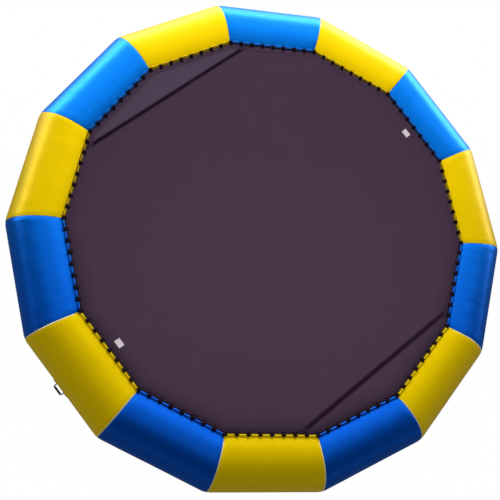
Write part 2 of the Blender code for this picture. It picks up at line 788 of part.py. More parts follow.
def make_valve():
    turn = section_turn(VALVE_SECTION)
    frame = VALVE_FRAME
    body = turned("valve_body", valve_body_profile(), VALVE_STEPS, frame)
    add_piece("valve_body", body, VALVE_PLASTIC, turn)

    nut_top = -TUBE_SKIN - REST_GAP
    nut_profile = ring_profile(BARREL_RADIUS + REST_GAP, NUT_RADIUS, nut_top - NUT_THICKNESS, nut_top)
    add_piece("valve_nut", turned("valve_nut", nut_profile, VALVE_STEPS, frame), VALVE_PLASTIC, turn)

    middle = Matrix.Translation((0, 0, GUIDE_THICKNESS / 2 - GUIDE_DEPTH))
    guide = extruded("valve_guide", guide_loops(), GUIDE_THICKNESS, frame @ middle)
    add_piece("valve_guide", guide, VALVE_PLASTIC, turn)

    plunger = turned("valve_plunger", plunger_profile(), PLUNGER_STEPS, frame)
    plunger_piece = add_piece("valve_plunger", plunger, GREY_RUBBER, turn)

    low = -BARREL_DEPTH - REST_GAP - DIAPHRAGM_THICKNESS
    high = -BARREL_DEPTH - REST_GAP
    disc_profile = ring_profile(STEM_RADIUS + REST_GAP, DIAPHRAGM_RADIUS, low, high)
    disc = turned("valve_diaphragm", disc_profile, VALVE_STEPS, frame)
    disc_piece = add_piece("valve_diaphragm", disc, BLACK_RUBBER, turn)

    points = spring_points()
    print("least gap between the spring's turns, in metres:", round(least_gap(points, SPRING_WIRE), 5))
    spring = wire("valve_spring", points, SPRING_WIRE / 2, 1, False)
    spring.transform(frame)
    add_piece("valve_spring", spring, STEEL, turn)

    seal_low = COLLAR_HEIGHT + REST_GAP
    bore = BARREL_RADIUS - BARREL_WALL
    seal_profile = ring_profile(bore, COLLAR_RADIUS, seal_low, seal_low + SEAL_THICKNESS)
    seal_piece = add_piece("valve_cap_seal", turned("valve_cap_seal", seal_profile, VALVE_STEPS, frame),
                           GREY_RUBBER, turn)

    cap_piece = add_piece("valve_cap", turned("valve_cap", cap_profile(), VALVE_STEPS, frame),
                          VALVE_PLASTIC, turn)
    ceiling = COLLAR_HEIGHT + 2 * REST_GAP + SEAL_THICKNESS
    bar_low = ceiling + CAP_TOP / 2
    bar_size = (CAP_BAR_LENGTH, CAP_BAR_WIDTH, CAP_BAR_HEIGHT + CAP_TOP / 2)
    bar_middle = Matrix.Translation((0, 0, bar_low + bar_size[2] / 2))
    bar = add_cutter("cap_bar", block("cap_bar", bar_size, frame @ bar_middle), turn)
    cut_or_join(cap_piece, "finger_bar", bar, "UNION")

    axis = add_axis("valve_axis", turn @ frame)
    hang_on(axis, plunger_piece, disc_piece, seal_piece, cap_piece)


# Anchor rings

def ring_points():
    """Centre line of a D ring that hangs from its straight bar, x along the bar and y down to its bow."""
    side = RING_WIDTH / 2
    bow = [(x, RING_SIDE + y) for x, y in arc((0, 0), side, 0, 180, RING_ARC_POINTS)]
    return [(-side, 0), (side, 0), *bow]


def make_anchors():
    along = 0
    rise = PATCH_TOP + ANCHOR_TAB_RISE
    bar = on_facet(ANCHOR_FACET, along, rise)
    bar_place = Matrix.Translation((bar.x, 0, bar.y))
    hanging = [(0, x, -y) for x, y in ring_points()]
    ring = wire("anchor_ring", hanging, RING_WIRE / 2, 1, True)
    ring.transform(bar_place)

    outline = rounded_outline(ANCHOR_PATCH_LENGTH, ANCHOR_PATCH_WIDTH, PATCH_CORNER, 5)
    patch_frame = facet_frame(ANCHOR_FACET, 0, REST_GAP + PATCH_THICKNESS / 2)
    patch = extruded("anchor_patch", [outline], PATCH_THICKNESS, patch_frame)

    tail = PATCH_TOP + REST_GAP
    loops = sleeve_loops(-ANCHOR_TAB_BASE, tail, ANCHOR_TAB_WALL, (along, rise), RING_WIRE / 2)
    placed = [[on_facet(ANCHOR_FACET, -u, v) for u, v in loop] for loop in loops]
    tab = extruded("anchor_tab", placed, ANCHOR_TAB_WIDTH, CROSS_SECTION)

    for number, section in enumerate(ANCHOR_SECTIONS, 1):
        turn = section_turn(section)
        patch_copy = patch.copy()
        add_piece(f"anchor_patch_{number}", patch_copy, colour_of(section)[1], turn, round_piece=False)
        add_piece(f"anchor_tab_{number}", tab, BLACK_WEBBING, turn, round_piece=False)
        ring_piece = add_piece(f"anchor_ring_{number}", ring, STEEL, turn)
        axis = add_axis(f"anchor_ring_{number}_axis", turn @ bar_place)
        hang_on(axis, ring_piece)


make_tubes()
make_lacing()
make_rope()
make_hem()
make_bed()
make_handle()
make_valve()
make_anchors()
bpy.context.view_layer.update()
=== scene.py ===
"""Dressed model of the springless water bouncer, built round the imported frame.

Metres, +Z up. Section 11, with the grab handle, faces -Y, and section 4, with the valve, faces +Y.
A piece of a section is made with the section's outer side towards +X and then turned into place.
"""

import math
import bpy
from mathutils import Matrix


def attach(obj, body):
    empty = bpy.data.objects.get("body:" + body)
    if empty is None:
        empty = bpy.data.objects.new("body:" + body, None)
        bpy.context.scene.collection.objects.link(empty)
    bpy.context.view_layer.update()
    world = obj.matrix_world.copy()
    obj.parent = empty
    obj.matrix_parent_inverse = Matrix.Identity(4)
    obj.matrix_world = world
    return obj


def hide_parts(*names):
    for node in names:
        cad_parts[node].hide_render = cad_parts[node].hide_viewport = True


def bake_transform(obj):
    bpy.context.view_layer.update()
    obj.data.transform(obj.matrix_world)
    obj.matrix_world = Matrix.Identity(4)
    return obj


bl_info = {
    "name": "Water Bouncer",
    "version": (1, 0, 0),
    "blender": (4, 5, 0),
    "location": "3D View > Sidebar > Water Bouncer",
    "description": "Builds the vinyl ring, the laced bounce bed and the fittings of a water bouncer",
    "category": "Object",
}

from contextlib import contextmanager
from functools import cache

import bmesh
import bpy
from mathutils import Matrix, Vector

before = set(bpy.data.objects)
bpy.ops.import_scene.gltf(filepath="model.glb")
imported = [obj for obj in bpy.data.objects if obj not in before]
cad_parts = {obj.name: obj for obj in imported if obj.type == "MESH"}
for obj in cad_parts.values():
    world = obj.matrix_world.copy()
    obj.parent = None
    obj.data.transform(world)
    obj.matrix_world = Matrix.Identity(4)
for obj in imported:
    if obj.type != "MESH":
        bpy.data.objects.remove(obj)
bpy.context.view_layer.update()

SECTIONS = 14
HALF_STEP = math.pi / SECTIONS
SLOPE = math.tan(HALF_STEP)
RING_DIAMETER = 6.10
TUBE_RADIUS = 0.42
RING_APOTHEM = RING_DIAMETER / 2 * math.cos(HALF_STEP) - TUBE_RADIUS
OUTER_APOTHEM = RING_APOTHEM + TUBE_RADIUS
FACET_ANGLE = 2 * math.pi / 28
LACING_TURN = 9 * FACET_ANGLE
MOORING_TURN = -3 * FACET_ANGLE
HANDLE_SECTION = 11
VALVE_SECTION = 4
MOORING_SECTIONS = (2, 7, 12)
PALE_LINE_SECTIONS = (7, 9, 11)
FAR_WAY = Vector((-0.777, 0.629, 0.0))
REST_GAP = 0.0003

ROPE_RADIUS = 0.006
ROPE_APOTHEM = 2.341799
ROPE_HEIGHT = 0.799740
TABS_PER_SECTION = 8
PITCH = 2 * ROPE_APOTHEM * SLOPE / TABS_PER_SECTION
STRIP_EDGE = 0.0095
STRIP_WIDTH = 0.055
ROPE_ALONG = 0.026
ROPE_RISE = 0.014

HEM_APOTHEM = 2.315799
HEM_WIDTH = 0.050
HEM_HALF = 0.0024
BED_APOTHEM = 2.313499
BED_TOP = 0.80034
BED_THICKNESS = 0.0012
SEAM_X = 2.02
SEAM_STRIP_WIDTH = 0.038
TAG_Y = 2.2058

PATCH_TOP = 0.0026
WIRE_RADIUS = 0.0035
WIRE_RISE = 0.0095
VALVE_CENTRE = (0.0, OUTER_APOTHEM, TUBE_RADIUS)
COIL_LOW = -0.0122
COIL_HIGH = 0.0002


def section_angle(section):
    return math.radians(-90) + (HANDLE_SECTION - section) * 2 * HALF_STEP


def section_place(section):
    """Matrix that turns a piece from the +X side into its section."""
    return Matrix.Rotation(section_angle(section), 4, "Z")


def on_facet(turn, along, rise):
    """Point in a section's XZ plane, along the facet at that turn of the tube and rise above it."""
    normal = Vector((math.cos(turn), math.sin(turn)))
    tangent = Vector((-math.sin(turn), math.cos(turn)))
    return Vector((RING_APOTHEM, TUBE_RADIUS)) + normal * (TUBE_RADIUS + rise) + tangent * along


def on_tube(turn, rise):
    """Point in a section's XZ plane on the round tube, at that turn and rise above its skin."""
    reach = TUBE_RADIUS + rise
    return Vector((RING_APOTHEM + reach * math.cos(turn), TUBE_RADIUS + reach * math.sin(turn)))


# Sizes and finishes that a user would change

def length_setting(name, description, default):
    return bpy.props.FloatProperty(name=name, description=description, default=default, unit="LENGTH")


def colour_setting(name, description, default):
    return bpy.props.FloatVectorProperty(
        name=name, description=description, default=default, subtype="COLOR", size=3)


def power_setting(name, description, default):
    return bpy.props.FloatProperty(name=name, description=description, default=default, subtype="POWER")


class RingSettings(bpy.types.PropertyGroup):
    radius: length_setting("Tube radius", "Radius of the inflated tube's skin", 0.4205)
    pinch: length_setting("Seam pinch", "How far the skin is drawn in at a welded seam", 0.006)
    pinch_width: length_setting("Pinch width", "Reach of the pinch beside a seam", 0.026)
    pucker: length_setting("Pucker height", "Height of the short folds beside a seam", 0.0022)
    yellow: colour_setting("Yellow vinyl", "Colour of the odd sections", (0.84, 0.590, 0.0))
    # The far colours are painted light: each section is painted lighter towards the far side of the ring.
    yellow_far: colour_setting("Lighter yellow", "Colour of the odd sections on the side that faded", (0.89, 0.610, 0.0))
    blue: colour_setting("Blue vinyl", "Colour of the even sections", (0.0, 0.135, 0.86))
    blue_far: colour_setting("Lighter blue", "Colour of the even sections on the side that faded", (0.0, 0.240, 1.0))
    # This is the colour of the pale cream line beside the seams of sections 7, 9 and 11.
    lap: colour_setting("Seam lap", "Colour of the lap's cut edge on the near seams", (0.78, 0.72, 0.42))


class LacingSettings(bpy.types.PropertyGroup):
    tab_length: length_setting("Tab length", "Length of one rope tab along the ring", 0.078)
    rope_lay: length_setting("Rope lay", "Length of one turn of the rope's strands", 0.045)
    loop_width: length_setting("Loop width", "Width of the webbing loops", 0.038)
    stitch: length_setting("Stitch length", "Length of one stitch", 0.007)
    stitch_pitch: length_setting("Stitch spacing", "Distance from one stitch to the next", 0.011)
    thread: length_setting("Thread radius", "Radius of the sewing thread", 0.0007)


class BedSettings(bpy.types.PropertyGroup):
    fabric: colour_setting("Bed fabric", "Colour of the bounce bed", (0.066, 0.036, 0.067))
    side: colour_setting("Side panel", "Colour of the left side panel", (0.086, 0.055, 0.096))
    webbing: colour_setting("Webbing", "Colour of hem, loops and straps", (0.009, 0.004, 0.008))
    left_belt: colour_setting("Left seam belt", "Colour of the webbing over the left seam", (0.0085, 0.0015, 0.0100))
    right_belt: colour_setting("Right seam belt", "Colour of the webbing over the right seam", (0.0200, 0.0055, 0.0195))
    # Both tags are the same blank cloth: the front one is painted lighter and the rear one darker, painted light that
    # offsets the weaker light at the front.
    front_tag: colour_setting("Front tag", "Colour of the blank cloth tag at the front", (0.97, 0.88, 0.93))
    rear_tag: colour_setting("Rear tag", "Colour of the blank cloth tag at the back", (0.70, 0.61, 0.67))
    bowl_end: length_setting("Bowl middle", "Radius inside which the bed moves whole", 0.15)


class StageSettings(bpy.types.PropertyGroup):
    key: power_setting("Key light", "Power of the large low light beyond the far side", 800.0)
    top: power_setting("Top light", "Power of the soft light above the far side", 215.0)
    world: bpy.props.FloatProperty(name="Surroundings", description="Strength of the surroundings", default=1.0)


def settings(name):
    return getattr(bpy.context.scene, f"bouncer_{name}")


def tone(group, name):
    return tuple(getattr(settings(group), name))


# Node trees

FLOAT, INT, VECTOR, COLOUR = "NodeSocketFloat", "NodeSocketInt", "NodeSocketVector", "NodeSocketColor"
GEOMETRY, MATERIAL, OBJECT = "NodeSocketGeometry", "NodeSocketMaterial", "NodeSocketObject"


class Signal:
    """A socket's value. Arithmetic on it adds Math nodes to its tree."""

    def __init__(self, sheet, socket):
        self.sheet = sheet
        self.socket = socket

    def __add__(self, other):
        return self.sheet.math("ADD", self, other)

    def __radd__(self, other):
        return self.sheet.math("ADD", other, self)

    def __sub__(self, other):
        return self.sheet.math("SUBTRACT", self, other)

    def __rsub__(self, other):
        return self.sheet.math("SUBTRACT", other, self)

    def __mul__(self, other):
        return self.sheet.math("MULTIPLY", self, other)

    def __rmul__(self, other):
        return self.sheet.math("MULTIPLY", other, self)

    def __truediv__(self, other):
        return self.sheet.math("DIVIDE", self, other)

    def __rtruediv__(self, other):
        return self.sheet.math("DIVIDE", other, self)

    def __neg__(self):
        return self.sheet.math("MULTIPLY", self, -1.0)


class Sheet:
    """A node tree with short calls that add a node and link it at once.

    Plain values fill a node's first sockets. A word with a capital names a socket, any other word a setting.
    """

    def __init__(self, tree):
        self.tree = tree
        self.count = 0

    def add(self, kind, *values, **words):
        node = self.tree.nodes.new(kind)
        node.location = (self.count % 12 * 190, self.count // 12 * -260)
        self.count += 1
        for word, value in words.items():
            if word[0].islower():
                setattr(node, word, value)
        for index, value in enumerate(values):
            self.feed(node.inputs[index], value)
        for word, value in words.items():
            if word[0].isupper():
                self.feed(node.inputs[word.replace("_", " ")], value)
        return node

    def feed(self, socket, value):
        if isinstance(value, Signal):
            self.tree.links.new(value.socket, socket)
        else:
            socket.default_value = (*value, 1.0) if socket.type == "RGBA" else value

    def get(self, kind, *values, output=0, **words):
        return Signal(self, self.add(kind, *values, **words).outputs[output])

    def geometry(self, kind, *values, **words):
        return self.get(f"GeometryNode{kind}", *values, **words)

    def math(self, operation, *values):
        return self.get("ShaderNodeMath", *values, operation=operation)

    def vector(self, x, y, z):
        return self.get("ShaderNodeCombineXYZ", x, y, z)

    def parts(self, vector):
        return [Signal(self, socket) for socket in self.add("ShaderNodeSeparateXYZ", vector).outputs]

    def turned(self, vector, angle):
        return self.get("ShaderNodeVectorRotate", Vector=vector, Angle=angle, rotation_type="Z_AXIS")

    def noise(self, vector, scale, detail=2.0, roughness=0.5, distortion=0.0):
        return self.get("ShaderNodeTexNoise", Vector=vector, Scale=scale, Detail=detail, Roughness=roughness,
                        Distortion=distortion)

    def ramp(self, value, low, high, start=0.0, end=1.0):
        """Value between two limits, eased from start to end."""
        return self.get("ShaderNodeMapRange", Value=value, From_Min=low, From_Max=high, To_Min=start, To_Max=end,
                        interpolation_type="SMOOTHSTEP")

    def mix(self, factor, first, second):
        """Colour between two colours."""
        node = self.add("ShaderNodeMix", factor, data_type="RGBA")
        self.feed(node.inputs[6], first)
        self.feed(node.inputs[7], second)
        return Signal(self, node.outputs[2])

    def value_of(self, colour, value):
        """The colour, brighter or darker."""
        return self.get("ShaderNodeHueSaturation", Value=value, Color=colour)

    def place(self):
        return self.get("ShaderNodeTexCoord", output=3)

    def uv(self):
        return self.get("ShaderNodeTexCoord", output=2)

    def attribute(self, name):
        return self.get("ShaderNodeAttribute", attribute_name=name, output=2)

    def far(self, x, y):
        """How far a place lies towards the far side."""
        return x * FAR_WAY.x + y * FAR_WAY.y

    def stored(self, shape, name, value, data_type="FLOAT", domain="POINT"):
        return self.geometry("StoreNamedAttribute", Geometry=shape, Name=name, Value=value, data_type=data_type,
                             domain=domain)

    def group(self, tree, **links):
        node = self.add("ShaderNodeGroup", node_tree=tree, **links)
        return {socket.name: Signal(self, socket) for socket in node.outputs}

    def close(self, **values):
        self.add("NodeGroupOutput", **values)
        return self.tree

    def close_shape(self, shape, finish):
        """Ends a Geometry Nodes tree with real faces in their material."""
        shape = self.geometry("RealizeInstances", Geometry=shape)
        return self.close(Geometry=self.geometry("SetMaterial", Geometry=shape, Material=finish))


def new_group(name, kind, inputs, outputs):
    """Sheet of a node group and its inputs. An input is given by its kind, or by its number to start from."""
    tree = bpy.data.node_groups.new(name, kind)
    for label, start in inputs.items():
        typed = start if isinstance(start, str) else INT if isinstance(start, int) else FLOAT
        socket = tree.interface.new_socket(name=label, in_out="INPUT", socket_type=typed)
        if not isinstance(start, str):
            socket.default_value = start
    for label, typed in outputs.items():
        tree.interface.new_socket(name=label, in_out="OUTPUT", socket_type=typed)
    sheet = Sheet(tree)
    entry = sheet.add("NodeGroupInput")
    return sheet, [Signal(sheet, entry.outputs[label]) for label in inputs]


def shape_group(name, inputs):
    return new_group(name, "GeometryNodeTree", inputs, {"Geometry": GEOMETRY})


# Shader groups that more than one finish uses

@cache
def vinyl_group():
    """Calendered vinyl film: soft ripples of the inflated skin, fine grain, smudges and uneven colour."""
    sheet, (place, along, colour, rippled) = new_group(
        "vinyl_film", "ShaderNodeTree", {"Place": VECTOR, "Along": VECTOR, "Colour": COLOUR, "Ripple": 1.0},
        {"Colour": COLOUR, "Roughness": FLOAT, "Height": FLOAT})
    smudge = sheet.noise(place, 2.3, 5.0, 0.6, 0.5)
    cloud = sheet.noise(place, 0.9, 2.0)
    colour = sheet.value_of(colour, 0.93 + 0.09 * smudge + 0.05 * cloud)
    streak = sheet.noise(along, 1.0, 3.0, 0.55, 0.2)
    ripple = sheet.noise(place, 3.2, 2.0, 0.4)
    grain = sheet.noise(place, 750.0, 1.0)
    height = (streak * 0.0035 + ripple * 0.0060) * rippled + grain * 0.00008
    return sheet.close(Colour=colour, Roughness=0.23 + 0.16 * sheet.noise(place, 5.0, 4.0, 0.6), Height=height)


@cache
def weave_group():
    """Plain weave of round threads that pass over and under each other."""
    sheet, (place, thread) = new_group(
        "plain_weave", "ShaderNodeTree", {"Place": VECTOR, "Thread": 0.001}, {"Height": FLOAT, "Shade": FLOAT})
    x, y, _ = sheet.parts(place)
    turn = math.pi / thread
    wave = sheet.math("SINE", x * turn) * sheet.math("SINE", y * turn)
    furrow = sheet.math("ABSOLUTE", sheet.math("SINE", x * turn * 2.0)) * 0.3
    return sheet.close(Height=wave * 0.5 + 0.5 + furrow, Shade=0.82 + 0.18 * wave)


@cache
def dust_group():
    """Where dust and dried spray have settled: soft patches broken up by a fine speckle."""
    sheet, (place, amount) = new_group(
        "dried_spray", "ShaderNodeTree", {"Place": VECTOR, "Amount": 0.1}, {"Mask": FLOAT})
    patch = sheet.ramp(sheet.noise(place, 4.0, 4.0, 0.6), 0.45, 0.75)
    speckle = sheet.ramp(sheet.noise(place, 160.0, 2.0), 0.4, 0.7)
    return sheet.close(Mask=patch * (0.35 + 0.65 * speckle) * amount)


# Finishes

def new_finish(name, preview):
    material = bpy.data.materials.new(name)
    material.use_nodes = True
    material.diffuse_color = (*preview, 1.0)
    return material, Sheet(material.node_tree), material.node_tree.nodes["Principled BSDF"]


def dress(sheet, shader, height, strength=1.0, **looks):
    """Feeds a shader's sockets by their names, and its normal from a height."""
    looks["Normal"] = sheet.get("ShaderNodeBump", Height=height, Strength=strength, Distance=1.0)
    for word, value in looks.items():
        sheet.feed(shader.inputs[word.replace("_", " ")], value)


def shaded(colour, share):
    return tuple(part * share for part in colour)


@cache
def vinyl_finish(name, near_colour, gets_painted_light, pearl, tint, glow):
    """Glossy vinyl, painted lighter towards the far side of the ring, with a painted glow: emission that stands in for
    light through its skin.

    The attribute seam_near tells how near a welded seam is; where a seam has no pale line, a painted shade line lies
    in its pinch. seam_lap tells which seams carry a pale cream line. trim is 1 where the
    bed-facing front of a tab is coloured black as the webbing; from 0.2 to 0.4 it is painted shade on a tab's flank
    and crest, stronger on the far side.
    """
    material, sheet, shader = new_finish(name, near_colour)
    place = sheet.place()
    u, v, _ = sheet.parts(sheet.uv())
    x, y, _ = sheet.parts(place)
    # Painted light: towards the far side of the ring the colour runs to the lighter far colour.
    painted_light_far_share = sheet.ramp(sheet.far(x, y), -1.8, 1.8)
    film = sheet.group(vinyl_group(), Place=place, Along=sheet.vector(u * 9.0, v * 1.6, 0.0),
                       Colour=sheet.mix(painted_light_far_share, near_colour, gets_painted_light), Ripple=1.0)
    near = sheet.attribute("seam_near")
    lap = sheet.attribute("seam_lap")
    # The bed-facing front of a tab is coloured black as the webbing; values from 0.2 to 0.4 are painted shade on the
    # tab's flank, and on the far side on its crest too.
    trim = sheet.ramp(sheet.attribute("trim"), 0.30 - 0.25 * painted_light_far_share, 0.45 - 0.10 * painted_light_far_share)
    edge = sheet.ramp(near, 0.84, 0.90)
    # Painted shade: a dark line right at the seams of the sections that have no pale line.
    seam_painted_shade = sheet.ramp(near, 0.975, 1.0)
    # A pale cream line beside the seams of sections 7, 9 and 11.
    colour = sheet.mix(edge * lap, film["Colour"], tone("ring", "lap"))
    colour = sheet.mix(seam_painted_shade * (1.0 - lap) * 0.8, colour, shaded(near_colour, 0.35))
    colour = sheet.mix(trim, colour, tone("bed", "webbing"))
    dress(sheet, shader, film["Height"] + edge * 0.0012, Base_Color=colour, Roughness=film["Roughness"] + trim * 0.45,
          # Painted glow: the emission stands in for light coming through the thin skin.
          Specular_IOR_Level=0.40, Specular_Tint=tint, Metallic=(1.0 - trim) * pearl, Emission_Color=colour,
          Emission_Strength=glow)
    return material


@cache
def webbing_finish(name, colour):
    material, sheet, shader = new_finish(name, colour)
    weave = sheet.group(weave_group(), Place=sheet.uv(), Thread=0.0016)
    dust = sheet.group(dust_group(), Place=sheet.place(), Amount=0.03)
    threads = sheet.mix(weave["Shade"], shaded(colour, 0.6), shaded(colour, 1.4))
    dress(sheet, shader, weave["Height"] * 0.0005, 0.7, Roughness=0.78, Specular_IOR_Level=0.06,
          Base_Color=sheet.mix(dust["Mask"], threads, (0.30, 0.28, 0.25)))
    return material


@cache
def bed_finish(name, colour):
    """Woven bed fabric, painted lighter towards the near side to offset the light's fall-off.

    The attribute rim holds a painted shade at the bed's edge, darker on the near side.
    """
    material, sheet, shader = new_finish(name, colour)
    place = sheet.place()
    x, y, _ = sheet.parts(place)
    weave = sheet.group(weave_group(), Place=place, Thread=0.0022)
    dust = sheet.group(dust_group(), Place=place, Amount=0.02)
    cloud = sheet.noise(place, 1.1, 4.0, 0.6)
    mottle = sheet.noise(place, 9.0, 3.0, 0.6)
    # Painted light: the cloth is painted lighter towards the near side and darker towards the far side, to offset the
    # light's fall-off.
    painted_light_far_share = sheet.ramp(sheet.far(x, y), -2.3, 2.3)
    cloth = sheet.value_of(colour, (1.65 - 0.76 * painted_light_far_share) * (0.95 + 0.04 * cloud + 0.06 * mottle))
    seam = sheet.math("ABSOLUTE", sheet.math("ABSOLUTE", x) - SEAM_X)
    # Painted shade at the bed's edge from the rim attribute, darker on the near side; beside the seam strips the cloth
    # is darker as well.
    painted_rim_shade_and_seam_band = sheet.math("MAXIMUM", sheet.attribute("rim"), 1.0 - sheet.ramp(seam, 0.021, 0.042))
    cloth = sheet.mix(painted_rim_shade_and_seam_band, cloth, shaded(colour, 0.62))
    cloth = sheet.mix((1.0 - weave["Shade"]) * 0.5, cloth, (0.02, 0.012, 0.018))
    cloth = sheet.mix(dust["Mask"], cloth, (0.30, 0.28, 0.27))
    pull = sheet.noise(place, 14.0, 2.0, 0.5)
    dress(sheet, shader, weave["Height"] * 0.0004 + pull * 0.0006, 0.6, Base_Color=cloth,
          Roughness=0.62 + 0.12 * mottle, Specular_IOR_Level=0.08)
    return material


@cache
def plain_finish(name, colour, roughness, grain_scale, grain_height, metallic=0.0, spread=0.10, dust=0.0):
    """Moulded, cast or spun stuff: fine grain, uneven gloss and a little dirt."""
    material, sheet, shader = new_finish(name, colour)
    place = sheet.place()
    smudge = sheet.noise(place, 22.0, 4.0, 0.6)
    grain = sheet.noise(place, grain_scale, 2.0)
    dirty = sheet.value_of(colour, 0.9 + 0.2 * smudge)
    if dust:
        spray = sheet.group(dust_group(), Place=place, Amount=dust)
        dirty = sheet.mix(spray["Mask"], dirty, (0.35, 0.33, 0.30))
    dress(sheet, shader, grain * grain_height, 0.8, Base_Color=dirty, Metallic=metallic,
          Roughness=roughness - spread / 2 + spread * smudge)
    return material


def colour_of(section):
    return "blue" if section % 2 == 0 else "yellow"


def vinyl_of(section):
    colour = colour_of(section)
    # The yellow's glow of 0.10 is a painted glow, emission that stands in for light through the skin.
    pearl, tint, glow = {"blue": (0.55, (0.35, 0.75, 1.0), 0.0), "yellow": (0.1, (1.0, 0.80, 0.05), 0.10)}[colour]
    return vinyl_finish(f"{colour}_vinyl_film", tone("ring", colour), tone("ring", f"{colour}_far"), pearl, tint, glow)


def black_webbing():
    return webbing_finish("black_belt_webbing", tone("bed", "webbing"))


def steel_finish():
    return plain_finish("stainless_wire", (0.62, 0.62, 0.60), 0.24, 420.0, 0.00012, metallic=1.0, spread=0.16)


# Meshes

@contextmanager
def edited(mesh):
    """The mesh's faces to work on, written back to it at the end."""
    bm = bmesh.new()
    bm.from_mesh(mesh)
    yield bm
    bm.to_mesh(mesh)
    bm.free()


def outward(mesh):
    with edited(mesh) as bm:
        bmesh.ops.recalc_face_normals(bm, faces=bm.faces)
    return mesh


def face_up(bm):
    bmesh.ops.recalc_face_normals(bm, faces=bm.faces)
    if sum(face.normal.z for face in bm.faces) < 0:
        bmesh.ops.reverse_faces(bm, faces=bm.faces)


def slice_through(bm, place, normal, clear=False):
    geometry = bm.verts[:] + bm.edges[:] + bm.faces[:]
    bmesh.ops.bisect_plane(bm, geom=geometry, plane_co=place, plane_no=normal, clear_outer=clear)


def new_mesh(name, points, faces, uvs=None, smooth=True):
    mesh = bpy.data.meshes.new(name)
    mesh.from_pydata([tuple(point) for point in points], [], faces)
    if uvs is not None:
        layer = mesh.uv_layers.new(name="UVMap")
        for loop in mesh.loops:
            layer.data[loop.index].uv = uvs[loop.vertex_index]
    mesh.update()
    if smooth:
        mesh.shade_smooth()
        mesh.set_sharp_from_angle(angle=math.radians(50))
    return mesh


def new_object(name, mesh, material=None):
    piece = bpy.data.objects.new(name, mesh)
    bpy.context.scene.collection.objects.link(piece)
    if material is not None:
        mesh.materials.clear()
        mesh.materials.append(material)
    return piece


def point_values(mesh, name, values):
    mesh.attributes.new(name, "FLOAT", "POINT").data.foreach_set("value", values)
    return mesh


def band_faces(rows, columns, wrap_rows=False, wrap_columns=False):
    """Quads between rows of points that follow each other."""
    faces = []
    for row in range(rows if wrap_rows else rows - 1):
        first, below = row * columns, (row + 1) % rows * columns
        for column in range(columns if wrap_columns else columns - 1):
            right = (column + 1) % columns
            faces.append((first + column, first + right, below + right, below + column))
    return faces


def swept(name, rings, uvs=None, cyclic=False, smooth=True):
    """Closed body through rings of points, capped at both ends or run back into itself."""
    columns = len(rings[0])
    points = [point for ring in rings for point in ring]
    faces = band_faces(len(rings), columns, cyclic, True)
    if not cyclic:
        faces.append(tuple(range(columns - 1, -1, -1)))
        last = (len(rings) - 1) * columns
        faces.append(tuple(range(last, last + columns)))
    return outward(new_mesh(name, points, faces, uvs, smooth))


def hollow_sleeve(name, sections, uvs):
    """Closed body from pairs of outer and inner rings, open inside from end to end."""
    columns = len(sections[0][0])
    points = [point for pair in sections for ring in pair for point in ring]
    pairs = [(column, (column + 1) % columns) for column in range(columns)]
    step = 2 * columns
    last = step * (len(sections) - 1)
    faces = [(first + left, first + right, first + step + right, first + step + left)
             for section in range(0, last, step) for left, right in pairs for first in (section, section + columns)]
    faces += [(first + left, first + right, first + columns + right, first + columns + left)
              for first in (0, last) for left, right in pairs]
    return outward(new_mesh(name, points, faces, uvs))


def turned(name, profile, steps, closed=False, centre=VALVE_CENTRE):
    """Profile of (radius, height) points turned round an axis along Y, run back into itself where closed."""
    rings = []
    for radius, height in profile:
        angles = [2 * math.pi * index / steps for index in range(steps)]
        rings.append([(centre[0] + radius * math.cos(angle), centre[1] + height, centre[2] + radius * math.sin(angle))
                      for angle in angles])
    return new_object(name, swept(name, rings, cyclic=closed))


def walked(path):
    """Each point of a flat path, with the unit normal there and the run up to it."""
    run = 0.0
    for index, (x, y) in enumerate(path):
        before = Vector(path[max(index - 1, 0)])
        after = Vector(path[min(index + 1, len(path) - 1)])
        run += (Vector((x, y)) - before).length
        tangent = (after - before).normalized()
        yield x, y, Vector((-tangent.y, tangent.x)), run


def rounded_outline(length, width, corner, count):
    points = []
    for start, right, up in ((0, 1, 1), (90, -1, 1), (180, -1, -1), (270, 1, -1)):
        for index in range(count):
            turn = math.radians(start + 90 * index / (count - 1))
            points.append((right * (length / 2 - corner) + corner * math.cos(turn),
                           up * (width / 2 - corner) + corner * math.sin(turn)))
    return points


def baked(source):
    """Plain mesh of an object as its modifiers leave it, under the same name. The source is removed."""
    bpy.context.view_layer.update()
    graph = bpy.context.evaluated_depsgraph_get()
    mesh = bpy.data.meshes.new_from_object(source.evaluated_get(graph))
    name = source.name
    old = source.data
    bpy.data.objects.remove(source, do_unlink=True)
    if old.users == 0:
        bpy.data.meshes.remove(old)
    mesh.name = name
    return new_object(name, mesh)


def thickened(piece, thickness):
    """The piece with a wall under its face."""
    wall = piece.modifiers.new("wall", "SOLIDIFY")
    wall.thickness = thickness
    wall.offset = -1.0
    return baked(piece)


def drilled(piece, tool):
    """The piece less the tool, which is removed."""
    hole = piece.modifiers.new("hole", "BOOLEAN")
    hole.operation = "DIFFERENCE"
    hole.solver = "EXACT"
    hole.object = tool
    piece = baked(piece)
    bpy.data.objects.remove(tool, do_unlink=True)
    return piece


def block(name, place, sizes, bevel=0.0):
    mesh = bpy.data.meshes.new(name)
    with edited(mesh) as bm:
        bmesh.ops.create_cube(bm, size=1.0, matrix=Matrix.Translation(place) @ Matrix.Diagonal((*sizes, 1.0)))
        if bevel:
            bmesh.ops.bevel(bm, geom=bm.edges[:], offset=bevel, segments=3, affect="EDGES", profile=0.5)
    return mesh


def paths_mesh(name, paths, closed=False):
    points = []
    edges = []
    for path in paths:
        first = len(points)
        points += [tuple(point) for point in path]
        edges += [(index, index + 1) for index in range(first, len(points) - 1)]
        if closed:
            edges.append((len(points) - 1, first))
    mesh = bpy.data.meshes.new(name)
    mesh.from_pydata(points, edges, [])
    return mesh


